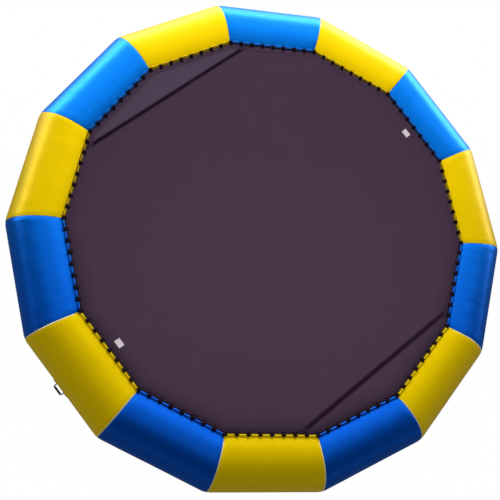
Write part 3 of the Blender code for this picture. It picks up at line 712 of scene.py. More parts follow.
def grown(name, tree, host=None, **values):
    """What a Geometry Nodes tree makes from a host mesh and named values, as a plain mesh."""
    source = new_object(name, host or bpy.data.meshes.new(name))
    nodes = source.modifiers.new("growth", "NODES")
    nodes.node_group = tree
    for item in tree.interface.items_tree:
        word = item.name.replace(" ", "_")
        if item.in_out == "INPUT" and word in values:
            nodes[item.identifier] = values[word]
    piece = baked(source)
    if not piece.data.polygons:
        raise RuntimeError(f"{name}: the tree made no faces")
    return piece


def repeated(name, tree, pattern, host=None, **values):
    """A tree's row or ring of copies of the pattern, which is removed."""
    piece = grown(name, tree, host, Pattern=pattern, **values)
    bpy.data.objects.remove(pattern, do_unlink=True)
    return piece


def joined(name, pieces):
    """One piece from several, each with its own material."""
    pieces[0].name = name
    with bpy.context.temp_override(
            active_object=pieces[0], object=pieces[0], selected_editable_objects=pieces, selected_objects=pieces):
        bpy.ops.object.join()
    pieces[0].data.name = name
    return pieces[0]


def settle(piece, body, node):
    """Hangs a finished piece on its body and lets it stand for its CAD node."""
    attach(piece, body)
    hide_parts(node)


def settle_across(piece, nodes):
    """Lets a finished piece stand for its CAD nodes, with its placing baked into its mesh."""
    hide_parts(*nodes)
    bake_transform(piece)


# Geometry Nodes trees

@cache
def section_tree():
    """One inflated section: a round skin between two mitres, pinched and puckered beside its welds."""
    sheet, given = shape_group("inflated_section", {
        "Ring apothem": 2.5, "Tube radius": 0.42, "Rest height": 0.42, "Slope": 0.228, "Turn": 0.0, "Gap": 0.0002,
        "Pinch": 0.006, "Pinch width": 0.03, "Pucker": 0.002, "Seam lap": 0.0, "Seed": 0.0, "Around": 85,
        "Lengthwise": 37, "Vinyl": MATERIAL})
    apothem, radius, rest, slope, placed, gap, pinch, pinch_width, pucker, lap, seed, around, lengthwise, vinyl = given
    shape = sheet.geometry("MeshGrid", 1.0, 1.0, around, lengthwise)
    x, y, _ = sheet.parts(sheet.geometry("InputPosition"))
    turn = (x + 0.5) * (-2 * math.pi)
    crowd = 1.35
    spread = sheet.math("SINE", y * (2 * crowd)) / math.sin(crowd)
    sine = sheet.math("SINE", turn)
    cosine = sheet.math("COSINE", turn)
    distance = (1.0 - sheet.math("ABSOLUTE", spread)) * ((apothem + radius * cosine) * slope - gap)
    side = sheet.math("SIGN", y)
    fold = sheet.noise(sheet.vector(cosine * 5.5, sine * 5.5, side * 3.0 + seed), 1.0, 1.0)
    fade = sheet.math("EXPONENT", -(distance / 0.09))
    sag = sheet.noise(sheet.vector(cosine * 0.8, sine * 0.8, spread * 1.2 + seed), 1.0, 1.0)
    ratio = distance / pinch_width
    drawn = sheet.math("EXPONENT", -(ratio * ratio)) * pinch
    folds = (fold - 0.5) * fade * pucker * 2.0 * (0.55 - 0.45 * cosine)
    reach = radius - drawn + folds + (sag - 0.5) * 0.004
    across = apothem + reach * cosine
    height = sheet.math("SMOOTH_MAX", rest + reach * sine, 0.0, 0.0008)
    height = sheet.math("MAXIMUM", height, 0.0)
    along = spread * (across * slope - gap)
    shape = sheet.stored(shape, "UVMap", sheet.vector(along, turn * radius, 0.0), "FLOAT2", "CORNER")
    shape = sheet.stored(shape, "seam_near", sheet.math("MAXIMUM", 1.0 - distance / 0.1, 0.0))
    shape = sheet.stored(shape, "seam_lap", lap)
    place = sheet.turned(sheet.vector(across, along, height), placed)
    shape = sheet.geometry("SetPosition", Geometry=shape, Position=place)
    shape = sheet.geometry("MergeByDistance", Geometry=shape, Distance=0.00005)
    return sheet.close_shape(sheet.geometry("SetShadeSmooth", Geometry=shape), vinyl)


@cache
def tab_row_tree():
    """A section's base strip, which is the host, and its row of evenly spaced tabs."""
    sheet, (strip, tab, tabs, pitch, turn, vinyl) = shape_group("tab_row", {
        "Geometry": GEOMETRY, "Pattern": OBJECT, "Tabs": 8, "Pitch": 0.13, "Turn": 0.0, "Vinyl": MATERIAL})
    start = (tabs - 1.0) * pitch * -0.5
    line = sheet.geometry("MeshLine", Count=tabs, Start_Location=sheet.vector(0.0, start, 0.0),
                          Offset=sheet.vector(0.0, pitch, 0.0), mode="OFFSET")
    tab = sheet.geometry("ObjectInfo", Object=tab, output=4)
    join = sheet.add("GeometryNodeJoinGeometry")
    sheet.feed(join.inputs[0], sheet.geometry("InstanceOnPoints", Points=line, Instance=tab))
    sheet.feed(join.inputs[0], strip)
    return sheet.close_shape(sheet.geometry(
        "Transform", Geometry=Signal(sheet, join.outputs[0]), Rotation=sheet.vector(0.0, 0.0, turn)), vinyl)


@cache
def loop_ring_tree():
    """A webbing loop in every notch between two tabs and at every corner of the ring."""
    sheet, (loop, sections, loops, pitch, apothem, start, webbing) = shape_group("loop_ring", {
        "Pattern": OBJECT, "Sections": 14, "Loops": 8, "Pitch": 0.13, "Apothem": 2.3, "Start": 0.0,
        "Webbing": MATERIAL})
    line = sheet.geometry("MeshLine", Count=sections * loops)
    index = sheet.geometry("InputIndex")
    section = sheet.math("FLOOR", index / loops)
    number = index - section * loops
    step = 2 * math.pi / sections
    at_corner = sheet.math("LESS_THAN", number, 0.5)
    offset = (number - loops * 0.5) * pitch * (1.0 - at_corner)
    angle = start + section * step - at_corner * step * 0.5
    stretch = 1.0 / sheet.math("COSINE", step * 0.5) - 1.0
    reach = apothem * (1.0 + at_corner * stretch) - apothem
    place = sheet.turned(sheet.vector(reach, offset, 0.0), angle)
    points = sheet.geometry("SetPosition", Geometry=line, Position=place)
    loop = sheet.geometry("ObjectInfo", Object=loop, output=4)
    turn = sheet.get("FunctionNodeEulerToRotation", sheet.vector(0.0, 0.0, angle))
    return sheet.close_shape(sheet.geometry("InstanceOnPoints", Points=points, Instance=loop, Rotation=turn), webbing)


@cache
def stitch_tree():
    """A stitch at even steps along each path of the host, half sunk in the cloth."""
    sheet, (paths, spacing, length, radius, thread) = shape_group("stitch_row", {
        "Geometry": GEOMETRY, "Spacing": 0.01, "Length": 0.007, "Radius": 0.0007, "Thread": MATERIAL})
    curve = sheet.geometry("MeshToCurve", Mesh=paths)
    points = sheet.geometry("ResampleCurve", Curve=curve, Length=spacing, mode="LENGTH")
    tangent = sheet.geometry("InputTangent")
    turn = sheet.get("FunctionNodeAlignRotationToVector", Vector=tangent, axis="Z")
    stitch = sheet.geometry("MeshCylinder", Vertices=5, Side_Segments=1, Radius=radius, Depth=length, fill_type="NGON")
    return sheet.close_shape(sheet.geometry("InstanceOnPoints", Points=points, Instance=stitch, Rotation=turn), thread)


@cache
def rope_tree():
    """Rope of laid strands, or plain wire, along the host's path."""
    sheet, (path, radius, strands, turns, steps, lobe_depth, fibre) = shape_group("laid_rope", {
        "Geometry": GEOMETRY, "Radius": 0.006, "Strands": 3, "Turns": 100, "Steps": 1000, "Lobe": 0.12,
        "Fibre": MATERIAL})
    curve = sheet.geometry("MeshToCurve", Mesh=path)
    curve = sheet.geometry("ResampleCurve", Curve=curve, Count=steps, mode="COUNT")
    index = sheet.geometry("InputIndex")
    curve = sheet.geometry("SetCurveTilt", Curve=curve, Tilt=index / steps * turns * (2 * math.pi))
    circle = sheet.geometry("CurvePrimitiveCircle", Resolution=12, Radius=radius)
    place = sheet.geometry("InputPosition")
    x, y, _ = sheet.parts(place)
    around = sheet.math("ARCTAN2", y, x)
    lobe = 1.0 - lobe_depth * (0.5 - 0.5 * sheet.math("COSINE", around * strands))
    scaled = sheet.get("ShaderNodeVectorMath", place, Scale=lobe, operation="SCALE")
    profile = sheet.geometry("SetPosition", Geometry=circle, Position=scaled)
    shape = sheet.geometry("CurveToMesh", Curve=curve, Profile_Curve=profile, Fill_Caps=True)
    return sheet.close_shape(sheet.geometry("SetShadeSmooth", Geometry=shape), fibre)


@cache
def rib_tree():
    """Grip ribs round a turned piece: copies of one rib about the Y axis."""
    sheet, (rib, ribs, moulding) = shape_group("rib_ring", {"Pattern": OBJECT, "Ribs": 24, "Moulding": MATERIAL})
    line = sheet.geometry("MeshLine", Count=ribs, Offset=(0.0, 0.0, 0.0))
    angle = sheet.geometry("InputIndex") / ribs * (2 * math.pi)
    turn = sheet.get("FunctionNodeEulerToRotation", sheet.vector(0.0, angle, 0.0))
    rib = sheet.geometry("ObjectInfo", Object=rib, output=4)
    return sheet.close_shape(sheet.geometry("InstanceOnPoints", Points=line, Instance=rib, Rotation=turn), moulding)


def stitches(name, paths, closed=False, size=1.0):
    """Rows of stitches along paths. A small strap has shorter ones, by the share size."""
    lacing = settings("lacing")
    thread = plain_finish("sewing_thread", (0.044, 0.028, 0.044), 0.6, 2500.0, 0.0001)
    return grown(name, stitch_tree(), paths_mesh(name, paths, closed), Spacing=lacing.stitch_pitch * size,
                 Length=lacing.stitch * size, Radius=lacing.thread, Thread=thread)


def wire(name, path, radius, steps, closed=False):
    return grown(name, rope_tree(), paths_mesh(name, [path], closed), Radius=radius, Strands=3, Turns=0, Steps=steps,
                 Lobe=0.0, Fibre=steel_finish())


# Stage

def ray_kinds(sheet):
    """Which rays come from the camera, and which from a glossy surface."""
    path = sheet.add("ShaderNodeLightPath")
    return [Signal(sheet, path.outputs[name]) for name in ("Is Camera Ray", "Is Glossy Ray")]


def world_finish():
    world = bpy.data.worlds.new("studio")
    world.use_nodes = True
    sheet = Sheet(world.node_tree)
    x, y, z = sheet.parts(sheet.get("ShaderNodeTexCoord"))
    ahead = sheet.far(x, y)
    height = sheet.ramp(z, 0.05, 0.70)
    level = (1.0 - height) * (0.20 + 0.80 * sheet.ramp(ahead, -0.7, 0.9)) + 0.10
    facing = sheet.ramp(ahead / sheet.math("SQRT", 1.0001 - z * z), -0.05, 0.65)
    bright = sheet.ramp(z, 0.0, 0.36, 6.5, 0.0) + sheet.ramp(z, 0.80, 1.0, 1.05, 0.45)
    dim = sheet.ramp(z, 0.0, 0.40, 0.25, 0.03) + sheet.ramp(z, 0.84, 1.0, 0.0, 0.42)
    mirrored = dim + (bright - dim) * facing
    seen, glossy = ray_kinds(sheet)
    lit = (level + (mirrored - level) * glossy) * settings("stage").world
    background = world.node_tree.nodes["Background"]
    sheet.feed(background.inputs["Color"], (1.0, 1.0, 1.0))
    sheet.feed(background.inputs["Strength"], lit * (1.0 - seen) + seen)
    return world


def floor_finish():
    """Pale floor whose brightness holds outside the ring, and which keeps the ring's shadow."""
    material, sheet, shader = new_finish("studio_floor", (0.82, 0.82, 0.82))
    place = sheet.place()
    tint = sheet.mix(sheet.noise(place, 3.0, 3.0), (0.80, 0.80, 0.80), (0.84, 0.84, 0.84))
    for socket, value in (("Base Color", tint), ("Roughness", 0.9), ("Specular IOR Level", 0.1)):
        sheet.feed(shader.inputs[socket], value)
    x, y, _ = sheet.parts(place)
    radius = sheet.math("SQRT", x * x + y * y)
    outside = sheet.ramp(radius, 2.55, 2.85)
    seen, glossy = ray_kinds(sheet)
    far = sheet.ramp(sheet.far(x, y) / radius, 0.0, 0.7) * sheet.ramp(radius, 3.2, 6.0)
    glow = sheet.get("ShaderNodeEmission", Color=(1.0, 1.0, 1.0), Strength=1.0 + (0.10 + 4.0 * far - 1.0) * glossy)
    blend = sheet.get("ShaderNodeMixShader", (seen * 0.995 + glossy) * outside, Signal(sheet, shader.outputs[0]), glow)
    sheet.feed(material.node_tree.nodes["Material Output"].inputs["Surface"], blend)
    return material


class BOUNCER_OT_stage(bpy.types.Operator):
    """Pale floor, soft lights, surroundings and the camera"""
    bl_idname = "bouncer.stage"
    bl_label = "Stage"

    def execute(self, context):
        stage = settings("stage")
        scene = context.scene
        size = 40.0
        corners = [(-size, -size, 0), (size, -size, 0), (size, size, 0), (-size, size, 0)]
        floor = new_object("studio_floor", new_mesh("studio_floor", corners, [(0, 1, 2, 3)]), floor_finish())
        floor.location.z = -0.0005
        scene.world = world_finish()
        for name, power, width, depth, reach, height in (
                ("key_light", stage.key, 10.0, 4.5, 11.0, 5.4), ("top_light", stage.top, 6.0, 5.0, 3.0, 6.0)):
            lamp = bpy.data.lights.new(name, "AREA")
            lamp.energy = power
            lamp.shape = "RECTANGLE"
            lamp.size = width
            lamp.size_y = depth
            light = bpy.data.objects.new(name, lamp)
            light.location = FAR_WAY * reach + Vector((0.0, 0.0, height))
            light.rotation_euler = (Vector((0.0, 0.0, 0.4)) - light.location).to_track_quat("-Z", "Y").to_euler()
            light.visible_camera = False
            light.visible_glossy = False
            scene.collection.objects.link(light)
        lens = bpy.data.cameras.new("camera")
        lens.lens = 61.1
        lens.sensor_width = 36.0
        lens.clip_end = 200.0
        camera = bpy.data.objects.new("camera", lens)
        right = Vector((0.60213, 0.76758, 0.21967))
        up = Vector((-0.79721, 0.56301, 0.21789))
        turn = Matrix((right, up, right.cross(up))).transposed()
        camera.matrix_world = Matrix.Translation((0.45354, -3.37902, 10.16793)) @ turn.to_4x4()
        scene.collection.objects.link(camera)
        scene.camera = camera
        scene.view_settings.view_transform = "Standard"
        return {"FINISHED"}


# Ring

class BOUNCER_OT_ring(bpy.types.Operator):
    """The fourteen inflated vinyl sections"""
    bl_idname = "bouncer.ring"
    bl_label = "Inflated ring"

    def execute(self, context):
        ring = settings("ring")
        for section in range(1, SECTIONS + 1):
            colour = colour_of(section)
            piece = grown(
                f"{colour}_section_{section:02d}", section_tree(), Ring_apothem=RING_APOTHEM, Tube_radius=ring.radius,
                Rest_height=TUBE_RADIUS, Slope=SLOPE, Turn=section_angle(section), Gap=REST_GAP / 2, Pinch=ring.pinch,
                Pinch_width=ring.pinch_width, Pucker=ring.pucker, Seed=section * 7.3, Around=85, Lengthwise=37,
                Seam_lap=1.0 if section in PALE_LINE_SECTIONS else 0.0, Vinyl=vinyl_of(section))
            piece = thickened(piece, 0.0012)
            if section == VALVE_SECTION:
                piece = drilled(piece, turned("valve_drill", [(0.0238, 0.03), (0.0238, -0.03)], 48))
                piece.data.set_sharp_from_angle(angle=math.radians(40))
            settle(piece, "tube", f"{colour}_tube_{section:02d}")
        return {"FINISHED"}


# Lacing

def strip_mesh(section):
    """Curved base strip welded along a section's upper inner side, drawn in at its ends as the tube is."""
    settled = settings("ring")
    profile = [(STRIP_EDGE - STRIP_WIDTH * index / 8, 0.0002 if index in (0, 8) else 0.0010) for index in range(9)]
    profile += [(STRIP_EDGE - STRIP_WIDTH, -0.001), (STRIP_EDGE, -0.001)]
    crowd = 1.3
    rows = []
    uvs = []
    for index in range(17):
        spread = math.sin((-1 + 2 * index / 16) * crowd) / math.sin(crowd)
        row = []
        for along, rise in profile:
            turn = LACING_TURN + along / TUBE_RADIUS
            half = on_tube(turn, 0.0).x * SLOPE - REST_GAP / 2
            drawn = settled.pinch * math.exp(-((1 - abs(spread)) * half / settled.pinch_width) ** 2)
            place = on_tube(turn, rise + 0.0005 - drawn)
            row.append((place.x, spread * (place.x * SLOPE - REST_GAP / 2), place.y))
            uvs.append((spread * half, along))
        rows.append(row)
    return swept(f"strip_{section}", rows, uvs)


TAB_OUTER = ((-0.0320, -0.0104), (-0.0262, -0.0084), (-0.0214, -0.0022), (-0.0172, 0.0066), (-0.0128, 0.0127),
             (-0.0072, 0.0144), (-0.0010, 0.0130), (0.0050, 0.0092), (0.0088, 0.0034), (0.0090, -0.0036),
             (0.0052, -0.0092), (-0.0040, -0.0112), (-0.0200, -0.0121), (-0.0320, -0.0121))
TAB_INNER = ((-0.0196, -0.0102), (-0.0188, -0.0096), (-0.0170, -0.0048), (-0.0146, 0.0050), (-0.0114, 0.0112),
             (-0.0066, 0.0124), (-0.0018, 0.0112), (0.0034, 0.0078), (0.0066, 0.0030), (0.0069, -0.0030),
             (0.0038, -0.0072), (-0.0044, -0.0090), (-0.0160, -0.0106), (-0.0186, -0.0106))


def tab_mesh(name):
    """Puffed vinyl sleeve that stands up from its strip round the rope, fullest at its middle.

    The outlines are measured from the rope, along the facet towards the bed and away from the tube.
    """
    half = settings("lacing").tab_length / 2
    sections = []
    uvs = []
    facing = []
    for index in range(7):
        across = half * math.sin(math.pi / 2 * (-1 + 2 * index / 6))
        end = abs(across) / half
        puff = 1.06 - 0.20 * end ** 3
        rings = []
        for outline in (TAB_OUTER, TAB_INNER):
            ring = []
            for along, height in outline:
                raised = height * puff if height > 0 else height
                pushed = along * puff if along > 0 else along * (1.0 - 0.10 * end ** 3)
                place = on_facet(LACING_TURN, ROPE_ALONG + pushed, ROPE_RISE + raised)
                ring.append((place.x, across, place.y))
                uvs.append((across, along + height))
                # Values for the finish: 1 colours the bed-facing front black as the webbing; 0.34 on the flank and 0.24
                # on the crest are painted shade, faint on the near flank and strong on the far side.
                back = 0.34 if height > -0.003 else 0.0
                facing.append(1.0 if along > 0.003 else 0.24 if along > -0.015 and height > 0.0 else back)
            rings.append(ring)
        sections.append(rings)
    return point_values(hollow_sleeve(name, sections, uvs), "trim", facing)


def loop_mesh(name):
    """Webbing folded in two round the rope, with both legs stitched to the hem."""
    half = settings("lacing").loop_width / 2
    thickness = 0.002
    grip = HEM_HALF + thickness / 2 - 0.0004
    path = [(-0.036, grip), (-0.027, grip + 0.0004), (-0.020, 0.0092), (-0.012, 0.0205), (-0.003, 0.0285),
            (0.005, 0.0300), (0.0118, 0.0262), (0.0148, 0.0175), (0.0138, 0.0065), (0.0104, -0.0030),
            (0.0046, -0.0076), (-0.004, -0.0084), (-0.014, -0.0066), (-0.026, -grip - 0.0004), (-0.040, -grip),
            (-0.058, -grip)]
    rows = []
    uvs = []
    for x, y, normal, run in walked(path):
        normal *= thickness / 2
        row = []
        for side, lift in ((-1, -1), (-0.94, -1), (0.94, -1), (1, -1), (1, 1), (0.94, 1), (-0.94, 1), (-1, 1)):
            shrink = 0.55 if abs(side) == 1 else 1.0
            row.append((ROPE_APOTHEM + x + normal.x * lift * shrink, side * half,
                        ROPE_HEIGHT + y + normal.y * lift * shrink))
            uvs.append((side * half, run))
        rows.append(row)
    return swept(name, rows, uvs)


def corner_path(apothem, height):
    """Closed path round the ring at that apothem, its fourteen corners rounded."""
    corner = 0.03
    half = apothem * SLOPE
    points = []
    for section in range(SECTIONS, 0, -1):
        turn = section_place(section)
        for index in range(-8, 8):
            along = half * (index / 8)
            cut = max(corner - (half - abs(along)), 0.0)
            points.append(turn @ Vector((apothem - cut ** 2 / 2 / corner * SLOPE, along, height)))
    return points


class BOUNCER_OT_lacing(bpy.types.Operator):
    """Rope tabs on their base strips, and the rope through them"""
    bl_idname = "bouncer.lacing"
    bl_label = "Tabs and rope"

    def execute(self, context):
        for section in range(1, SECTIONS + 1):
            colour = colour_of(section)
            tab = new_object("tab_pattern", tab_mesh("tab_pattern"))
            piece = repeated(f"{colour}_tabs_{section:02d}", tab_row_tree(), tab, strip_mesh(section),
                             Tabs=TABS_PER_SECTION, Pitch=PITCH, Turn=section_angle(section), Vinyl=vinyl_of(section))
            settle(piece, "tube", f"{colour}_lacing_flap_{section:02d}")
        turns = round(2 * SECTIONS * ROPE_APOTHEM * SLOPE / settings("lacing").rope_lay)
        fibre = plain_finish("black_rope_fibre", (0.012, 0.011, 0.014), 0.68, 900.0, 0.0003, dust=0.12)
        rope = grown("laced_rope", rope_tree(), paths_mesh("rope_path", [corner_path(ROPE_APOTHEM, ROPE_HEIGHT)], True),
                     Radius=ROPE_RADIUS, Strands=3, Turns=turns, Steps=turns * 8, Lobe=0.16, Fibre=fibre)
        settle(rope, "tube", "lacing_rope")
        return {"FINISHED"}


def eased(share):
    share = min(max(share, 0.0), 1.0)
    return share * share * (3 - 2 * share)


def painted_rim_shade(place):
    """Painted shade at the bed's rim there, darker on the near side."""
    way = Vector((place.x, place.y, 0.0)).normalized()
    return 0.12 + 0.60 * eased(-way.dot(FAR_WAY) * 0.9 + 0.55)


def hem_band():
    """Folded cloth band round the bed, its fold pulled in a little between two loops."""
    inner = -HEM_WIDTH
    fold = 0.0115
    cloth = 0.0009
    slit = -0.0023
    profile = [(inner, HEM_HALF - 0.0004), (inner + 0.002, HEM_HALF), (fold - 0.004, HEM_HALF),
               (fold - 0.0012, HEM_HALF * 0.7), (fold, 0.0), (fold - 0.0012, -HEM_HALF * 0.7),
               (fold - 0.004, -HEM_HALF), (inner + 0.002, -HEM_HALF), (inner, -HEM_HALF + 0.0004), (inner, -cloth),
               (slit, -cloth), (slit, cloth), (inner, cloth)]
    rings = []
    uvs = []
    run = 0.0
    stations = TABS_PER_SECTION * 4
    for section in range(SECTIONS, 0, -1):
        turn = section_place(section)
        for index in range(stations):
            pull = 0.0018 * (1 - math.cos(2 * math.pi * index / 4)) / 2
            ring = []
            for across, rise in profile:
                apothem = HEM_APOTHEM + across - (pull if across > fold - 0.003 else 0.0)
                along = apothem * SLOPE * (-1 + 2 * index / stations)
                ring.append(turn @ Vector((apothem, along, ROPE_HEIGHT + rise)))
                uvs.append((run, across))
            rings.append(ring)
            run += 2 * HEM_APOTHEM * SLOPE / stations
    mesh = swept("hem_band", rings, uvs, cyclic=True)
    # The hem carries the painted rim shade, darker on the near side.
    point_values(mesh, "rim", [painted_rim_shade(vertex.co) for vertex in mesh.vertices])
    return new_object("hem_band", mesh, bed_finish("bed_fabric_weave", tone("bed", "fabric")))


class BOUNCER_OT_hem(bpy.types.Operator):
    """The bed's folded hem with its webbing loops and stitching"""
    bl_idname = "bouncer.hem"
    bl_label = "Hem and loops"

    def execute(self, context):
        band = hem_band()
        loops = repeated("hem_loops", loop_ring_tree(), new_object("loop_pattern", loop_mesh("loop_pattern")),
                         Sections=SECTIONS, Loops=TABS_PER_SECTION, Pitch=PITCH, Apothem=ROPE_APOTHEM,
                         Start=section_angle(SECTIONS), Webbing=black_webbing())
        rows = [corner_path(HEM_APOTHEM - inset, ROPE_HEIGHT + side) for side in (HEM_HALF, -HEM_HALF)
                for inset in (0.007, 0.044)]
        piece = joined("bed_hem_band", [band, loops, stitches("hem_stitches", rows, True)])
        settle(piece, "tube", "bed_hem")
        return {"FINISHED"}


# Bounce bed

def settle_on_bed(piece, section, slot, *nodes):
    """Lets a piece of one sector of the bed stand for its CAD nodes."""
    way = section_place(section) @ Vector((1.0, 0.0, 0.0))
    start = way * (HEM_APOTHEM - HEM_WIDTH - 0.004)
    end = way * settings("bed").bowl_end
    start.z = end.z = BED_TOP
    settle_across(piece, nodes)


def panels_of(section):
    """CAD panels that a sector of the bed takes the place of."""
    names = ["bed_centre_panel"]
    if section in (13, 14, 1, 2):
        names.append("bed_left_panel")
    if section in (6, 7, 8, 9):
        names.append("bed_right_panel")
    return names


def sector_piece(section):
    """A sector of the bed from its middle to one side of its edge, with the side panel's own tone."""
    name = f"bed_sector_{section:02d}"
    columns = 9
    first_reach = 0.14
    turn = section_place(section)
    points = [Vector((0, 0, BED_TOP))]
    for index in range(23):
        reach = first_reach + (BED_APOTHEM - first_reach) * (index / 22)
        points += [turn @ Vector((reach, reach * SLOPE * (-1 + 2 * column / (columns - 1)), BED_TOP))
                   for column in range(columns)]
    faces = [(0, 1 + column, 2 + column) for column in range(columns - 1)]
    for first in range(1, len(points) - columns, columns):
        faces += [(first + column, first + columns + column, first + columns + column + 1, first + column + 1)
                  for column in range(columns - 1)]
    mesh = new_mesh(name, points, faces, smooth=False)
    side = bed_finish("bed_fabric_left", tone("bed", "side"))
    mesh.materials.append(bed_finish("bed_fabric_weave", tone("bed", "fabric")))
    mesh.materials.append(side)
    with edited(mesh) as bm:
        for limit in (-SEAM_X, SEAM_X):
            slice_through(bm, (limit, 0, 0), (1, 0, 0))
        for face in bm.faces:
            face.material_index = 1 if face.calc_center_median().x < -SEAM_X else 0
        # The rim layer holds painted shade from 0.02 to 0.15 in from the bed's edge, darker on the near side.
        layer = bm.verts.layers.float.new("rim")
        for vertex in bm.verts:
            inward = BED_APOTHEM - (turn.inverted() @ vertex.co).x
            vertex[layer] = painted_rim_shade(vertex.co) * eased((0.15 - inward) / 0.13)
        face_up(bm)
    return thickened(new_object(name, mesh), BED_THICKNESS)


def sector_run(section, x):
    """Lowest and highest y of the line at x inside a sector, clear of the hem."""
    turn = section_place(section).inverted()
    inside = []
    for index in range(-1300, 1301):
        y = index / 1000
        local = turn @ Vector((x, y, 0))
        if local.x <= HEM_APOTHEM - HEM_WIDTH - 0.008 and abs(local.y) <= local.x * SLOPE:
            inside.append(y)
    return (min(inside), max(inside)) if inside else (0.0, 0.0)


def strip_piece(section, way, side):
    """Part of a seam strip inside one sector of the bed, with its two rows of stitches."""
    name = f"{way}_seam_strip_{section:02d}"
    points = []
    uvs = []
    rows = 121
    for row in range(rows):
        y = -1.3 + 2.6 * row / (rows - 1)
        for column in range(5):
            across = SEAM_STRIP_WIDTH * (column / 4 - 0.5)
            points.append((side * SEAM_X + across, y, BED_TOP + (0.0018 - 0.0008 * abs(column - 2) / 2)))
            uvs.append((across, y))
    mesh = new_mesh(name, points, band_faces(rows, 5), uvs, smooth=False)
    turn = section_place(section)
    with edited(mesh) as bm:
        for reach, normal in ((HEM_APOTHEM - HEM_WIDTH - REST_GAP, (1, 0, 0)), (0, (-SLOPE, 1, 0)),
                              (0, (-SLOPE, -1, 0))):
            slice_through(bm, turn @ Vector((reach, 0, 0)), turn @ Vector(normal), clear=True)
        face_up(bm)
    belt = webbing_finish(f"{way}_belt_webbing", tone("bed", f"{way}_belt"))
    strip = thickened(new_object(name, mesh, belt), 0.0014)
    paths = []
    for x in (side * SEAM_X - 0.014, side * SEAM_X + 0.014):
        low, high = sector_run(section, x)
        if high - low > 0.02:
            steps = max(2, int((high - low) / 0.1))
            paths.append([(x, low + (high - low) * index / steps, BED_TOP + 0.0013) for index in range(steps + 1)])
    return joined(name, [strip, stitches(f"{name}_stitches", paths)]) if paths else strip


def tag_piece(name, side):
    """Blank cloth tag, its edges lifted a little from the bed, with one row of stitches round it."""
    rings = []
    for scale, lift in ((0.25, 0.0), (0.55, 0.0), (0.80, 0.0001), (0.93, 0.0003), (1.0, 0.0007)):
        outline = rounded_outline(0.097 * scale, 0.070 * scale, 0.006 * scale, 5)
        rings.append([(x, side * TAG_Y + y, BED_TOP + 0.0012 + lift) for x, y in outline])
    columns = len(rings[0])
    points = [point for ring in rings for point in ring]
    faces = band_faces(len(rings), columns, False, True) + [tuple(range(columns))]
    mesh = new_mesh(name, points, faces, [(x, y) for x, y, _ in points], smooth=False)
    with edited(mesh) as bm:
        face_up(bm)
    # The front and rear tag colours carry painted light: lighter at the front, darker at the rear.
    cloth = plain_finish(f"{name}_cloth", tone("bed", name), 0.7, 900.0, 0.0001, spread=0.06)
    tag = thickened(new_object(name, mesh, cloth), 0.0008)
    path = [(x, side * TAG_Y + y, BED_TOP + 0.0014) for x, y in rounded_outline(0.087, 0.060, 0.004, 4)]
    return joined(name, [tag, stitches(f"{name}_stitches", [path], True)])


class BOUNCER_OT_bed(bpy.types.Operator):
    """The bounce bed in sectors, its two seam strips and the blank tags"""
    bl_idname = "bouncer.bed"
    bl_label = "Bounce bed"

    def execute(self, context):
        for section in range(1, SECTIONS + 1):
            piece = sector_piece(section)
            settle_on_bed(piece, section, "bed_fabric", *panels_of(section))
        for way, side, sections in (("left", -1, (13, 14, 1, 2)), ("right", 1, (9, 8, 7, 6))):
            for section in sections:
                settle_on_bed(strip_piece(section, way, side), section, "seam_webbing", f"{way}_seam_strip")
        for way, side, section in (("front", -1, HANDLE_SECTION), ("rear", 1, VALVE_SECTION)):
            settle_on_bed(tag_piece(f"{way}_tag", side), section, "tag_cloth", f"{way}_bed_tag")
        return {"FINISHED"}


# Fittings

def patch_piece(name, section, node, length, width, turn):
    """Rounded vinyl patch that follows the tube, with a thin welded rim."""
    thickness = 0.002
    corner = 0.024
    points = []
    uvs = []
    rings = ((0.15, thickness), (0.45, thickness), (0.75, thickness), (0.90, thickness), (0.93, thickness * 0.45),
             (1.0, thickness * 0.35), (1.0, -0.001))
    for scale, lift in rings:
        outline = rounded_outline(length * scale, width * scale, corner * scale, 7)
        if scale > 0.8:
            inset = width / 2 * (1 - scale)
            outline = rounded_outline(length - 2 * inset, width - 2 * inset, max(corner - inset, 0.004), 7)
        for along, around in outline:
            place = on_tube(turn + around / TUBE_RADIUS, lift + 0.0006)
            points.append((place.x, along, place.y))
            uvs.append((along, around))
    columns = 28
    last = len(points) - 1
    faces = band_faces(len(rings), columns, False, True)
    faces += [tuple(range(columns)), tuple(range(last, last - columns, -1))]
    patch = new_object(name, outward(new_mesh(name, points, faces, uvs)), vinyl_of(section))
    patch.data.transform(section_place(section))
    settle(patch, "tube", node)


def band_along(name, path, width, thickness, rolled=False):
    """Webbing along a path in the section's XY plane, its width along Z: a flat band, or rolled to a cushion."""
    outline = ((-1, -0.5), (-0.88, -1), (0.88, -1), (1, -0.5), (1, 0.5), (0.88, 1), (-0.88, 1), (-1, 0.5))
    if rolled:
        quarter = ((1, 0.30), (0.90, 0.72), (0.66, 0.95), (0.25, 1))
        outline = [(x * across, y * up) for across, up, order in ((1, 1, 1), (-1, 1, -1), (-1, -1, 1), (1, -1, -1))
                   for x, y in quarter[::order]]
    rows = []
    uvs = []
    for x, y, normal, run in walked(path):
        normal *= thickness / 2
        row = []
        for side, lift in outline:
            row.append((x + normal.x * lift, y + normal.y * lift, TUBE_RADIUS + side * width / 2))
            uvs.append((run, side * width / 2 + lift * thickness / 2))
        rows.append(row)
    return new_object(name, swept(name, rows, uvs), black_webbing())


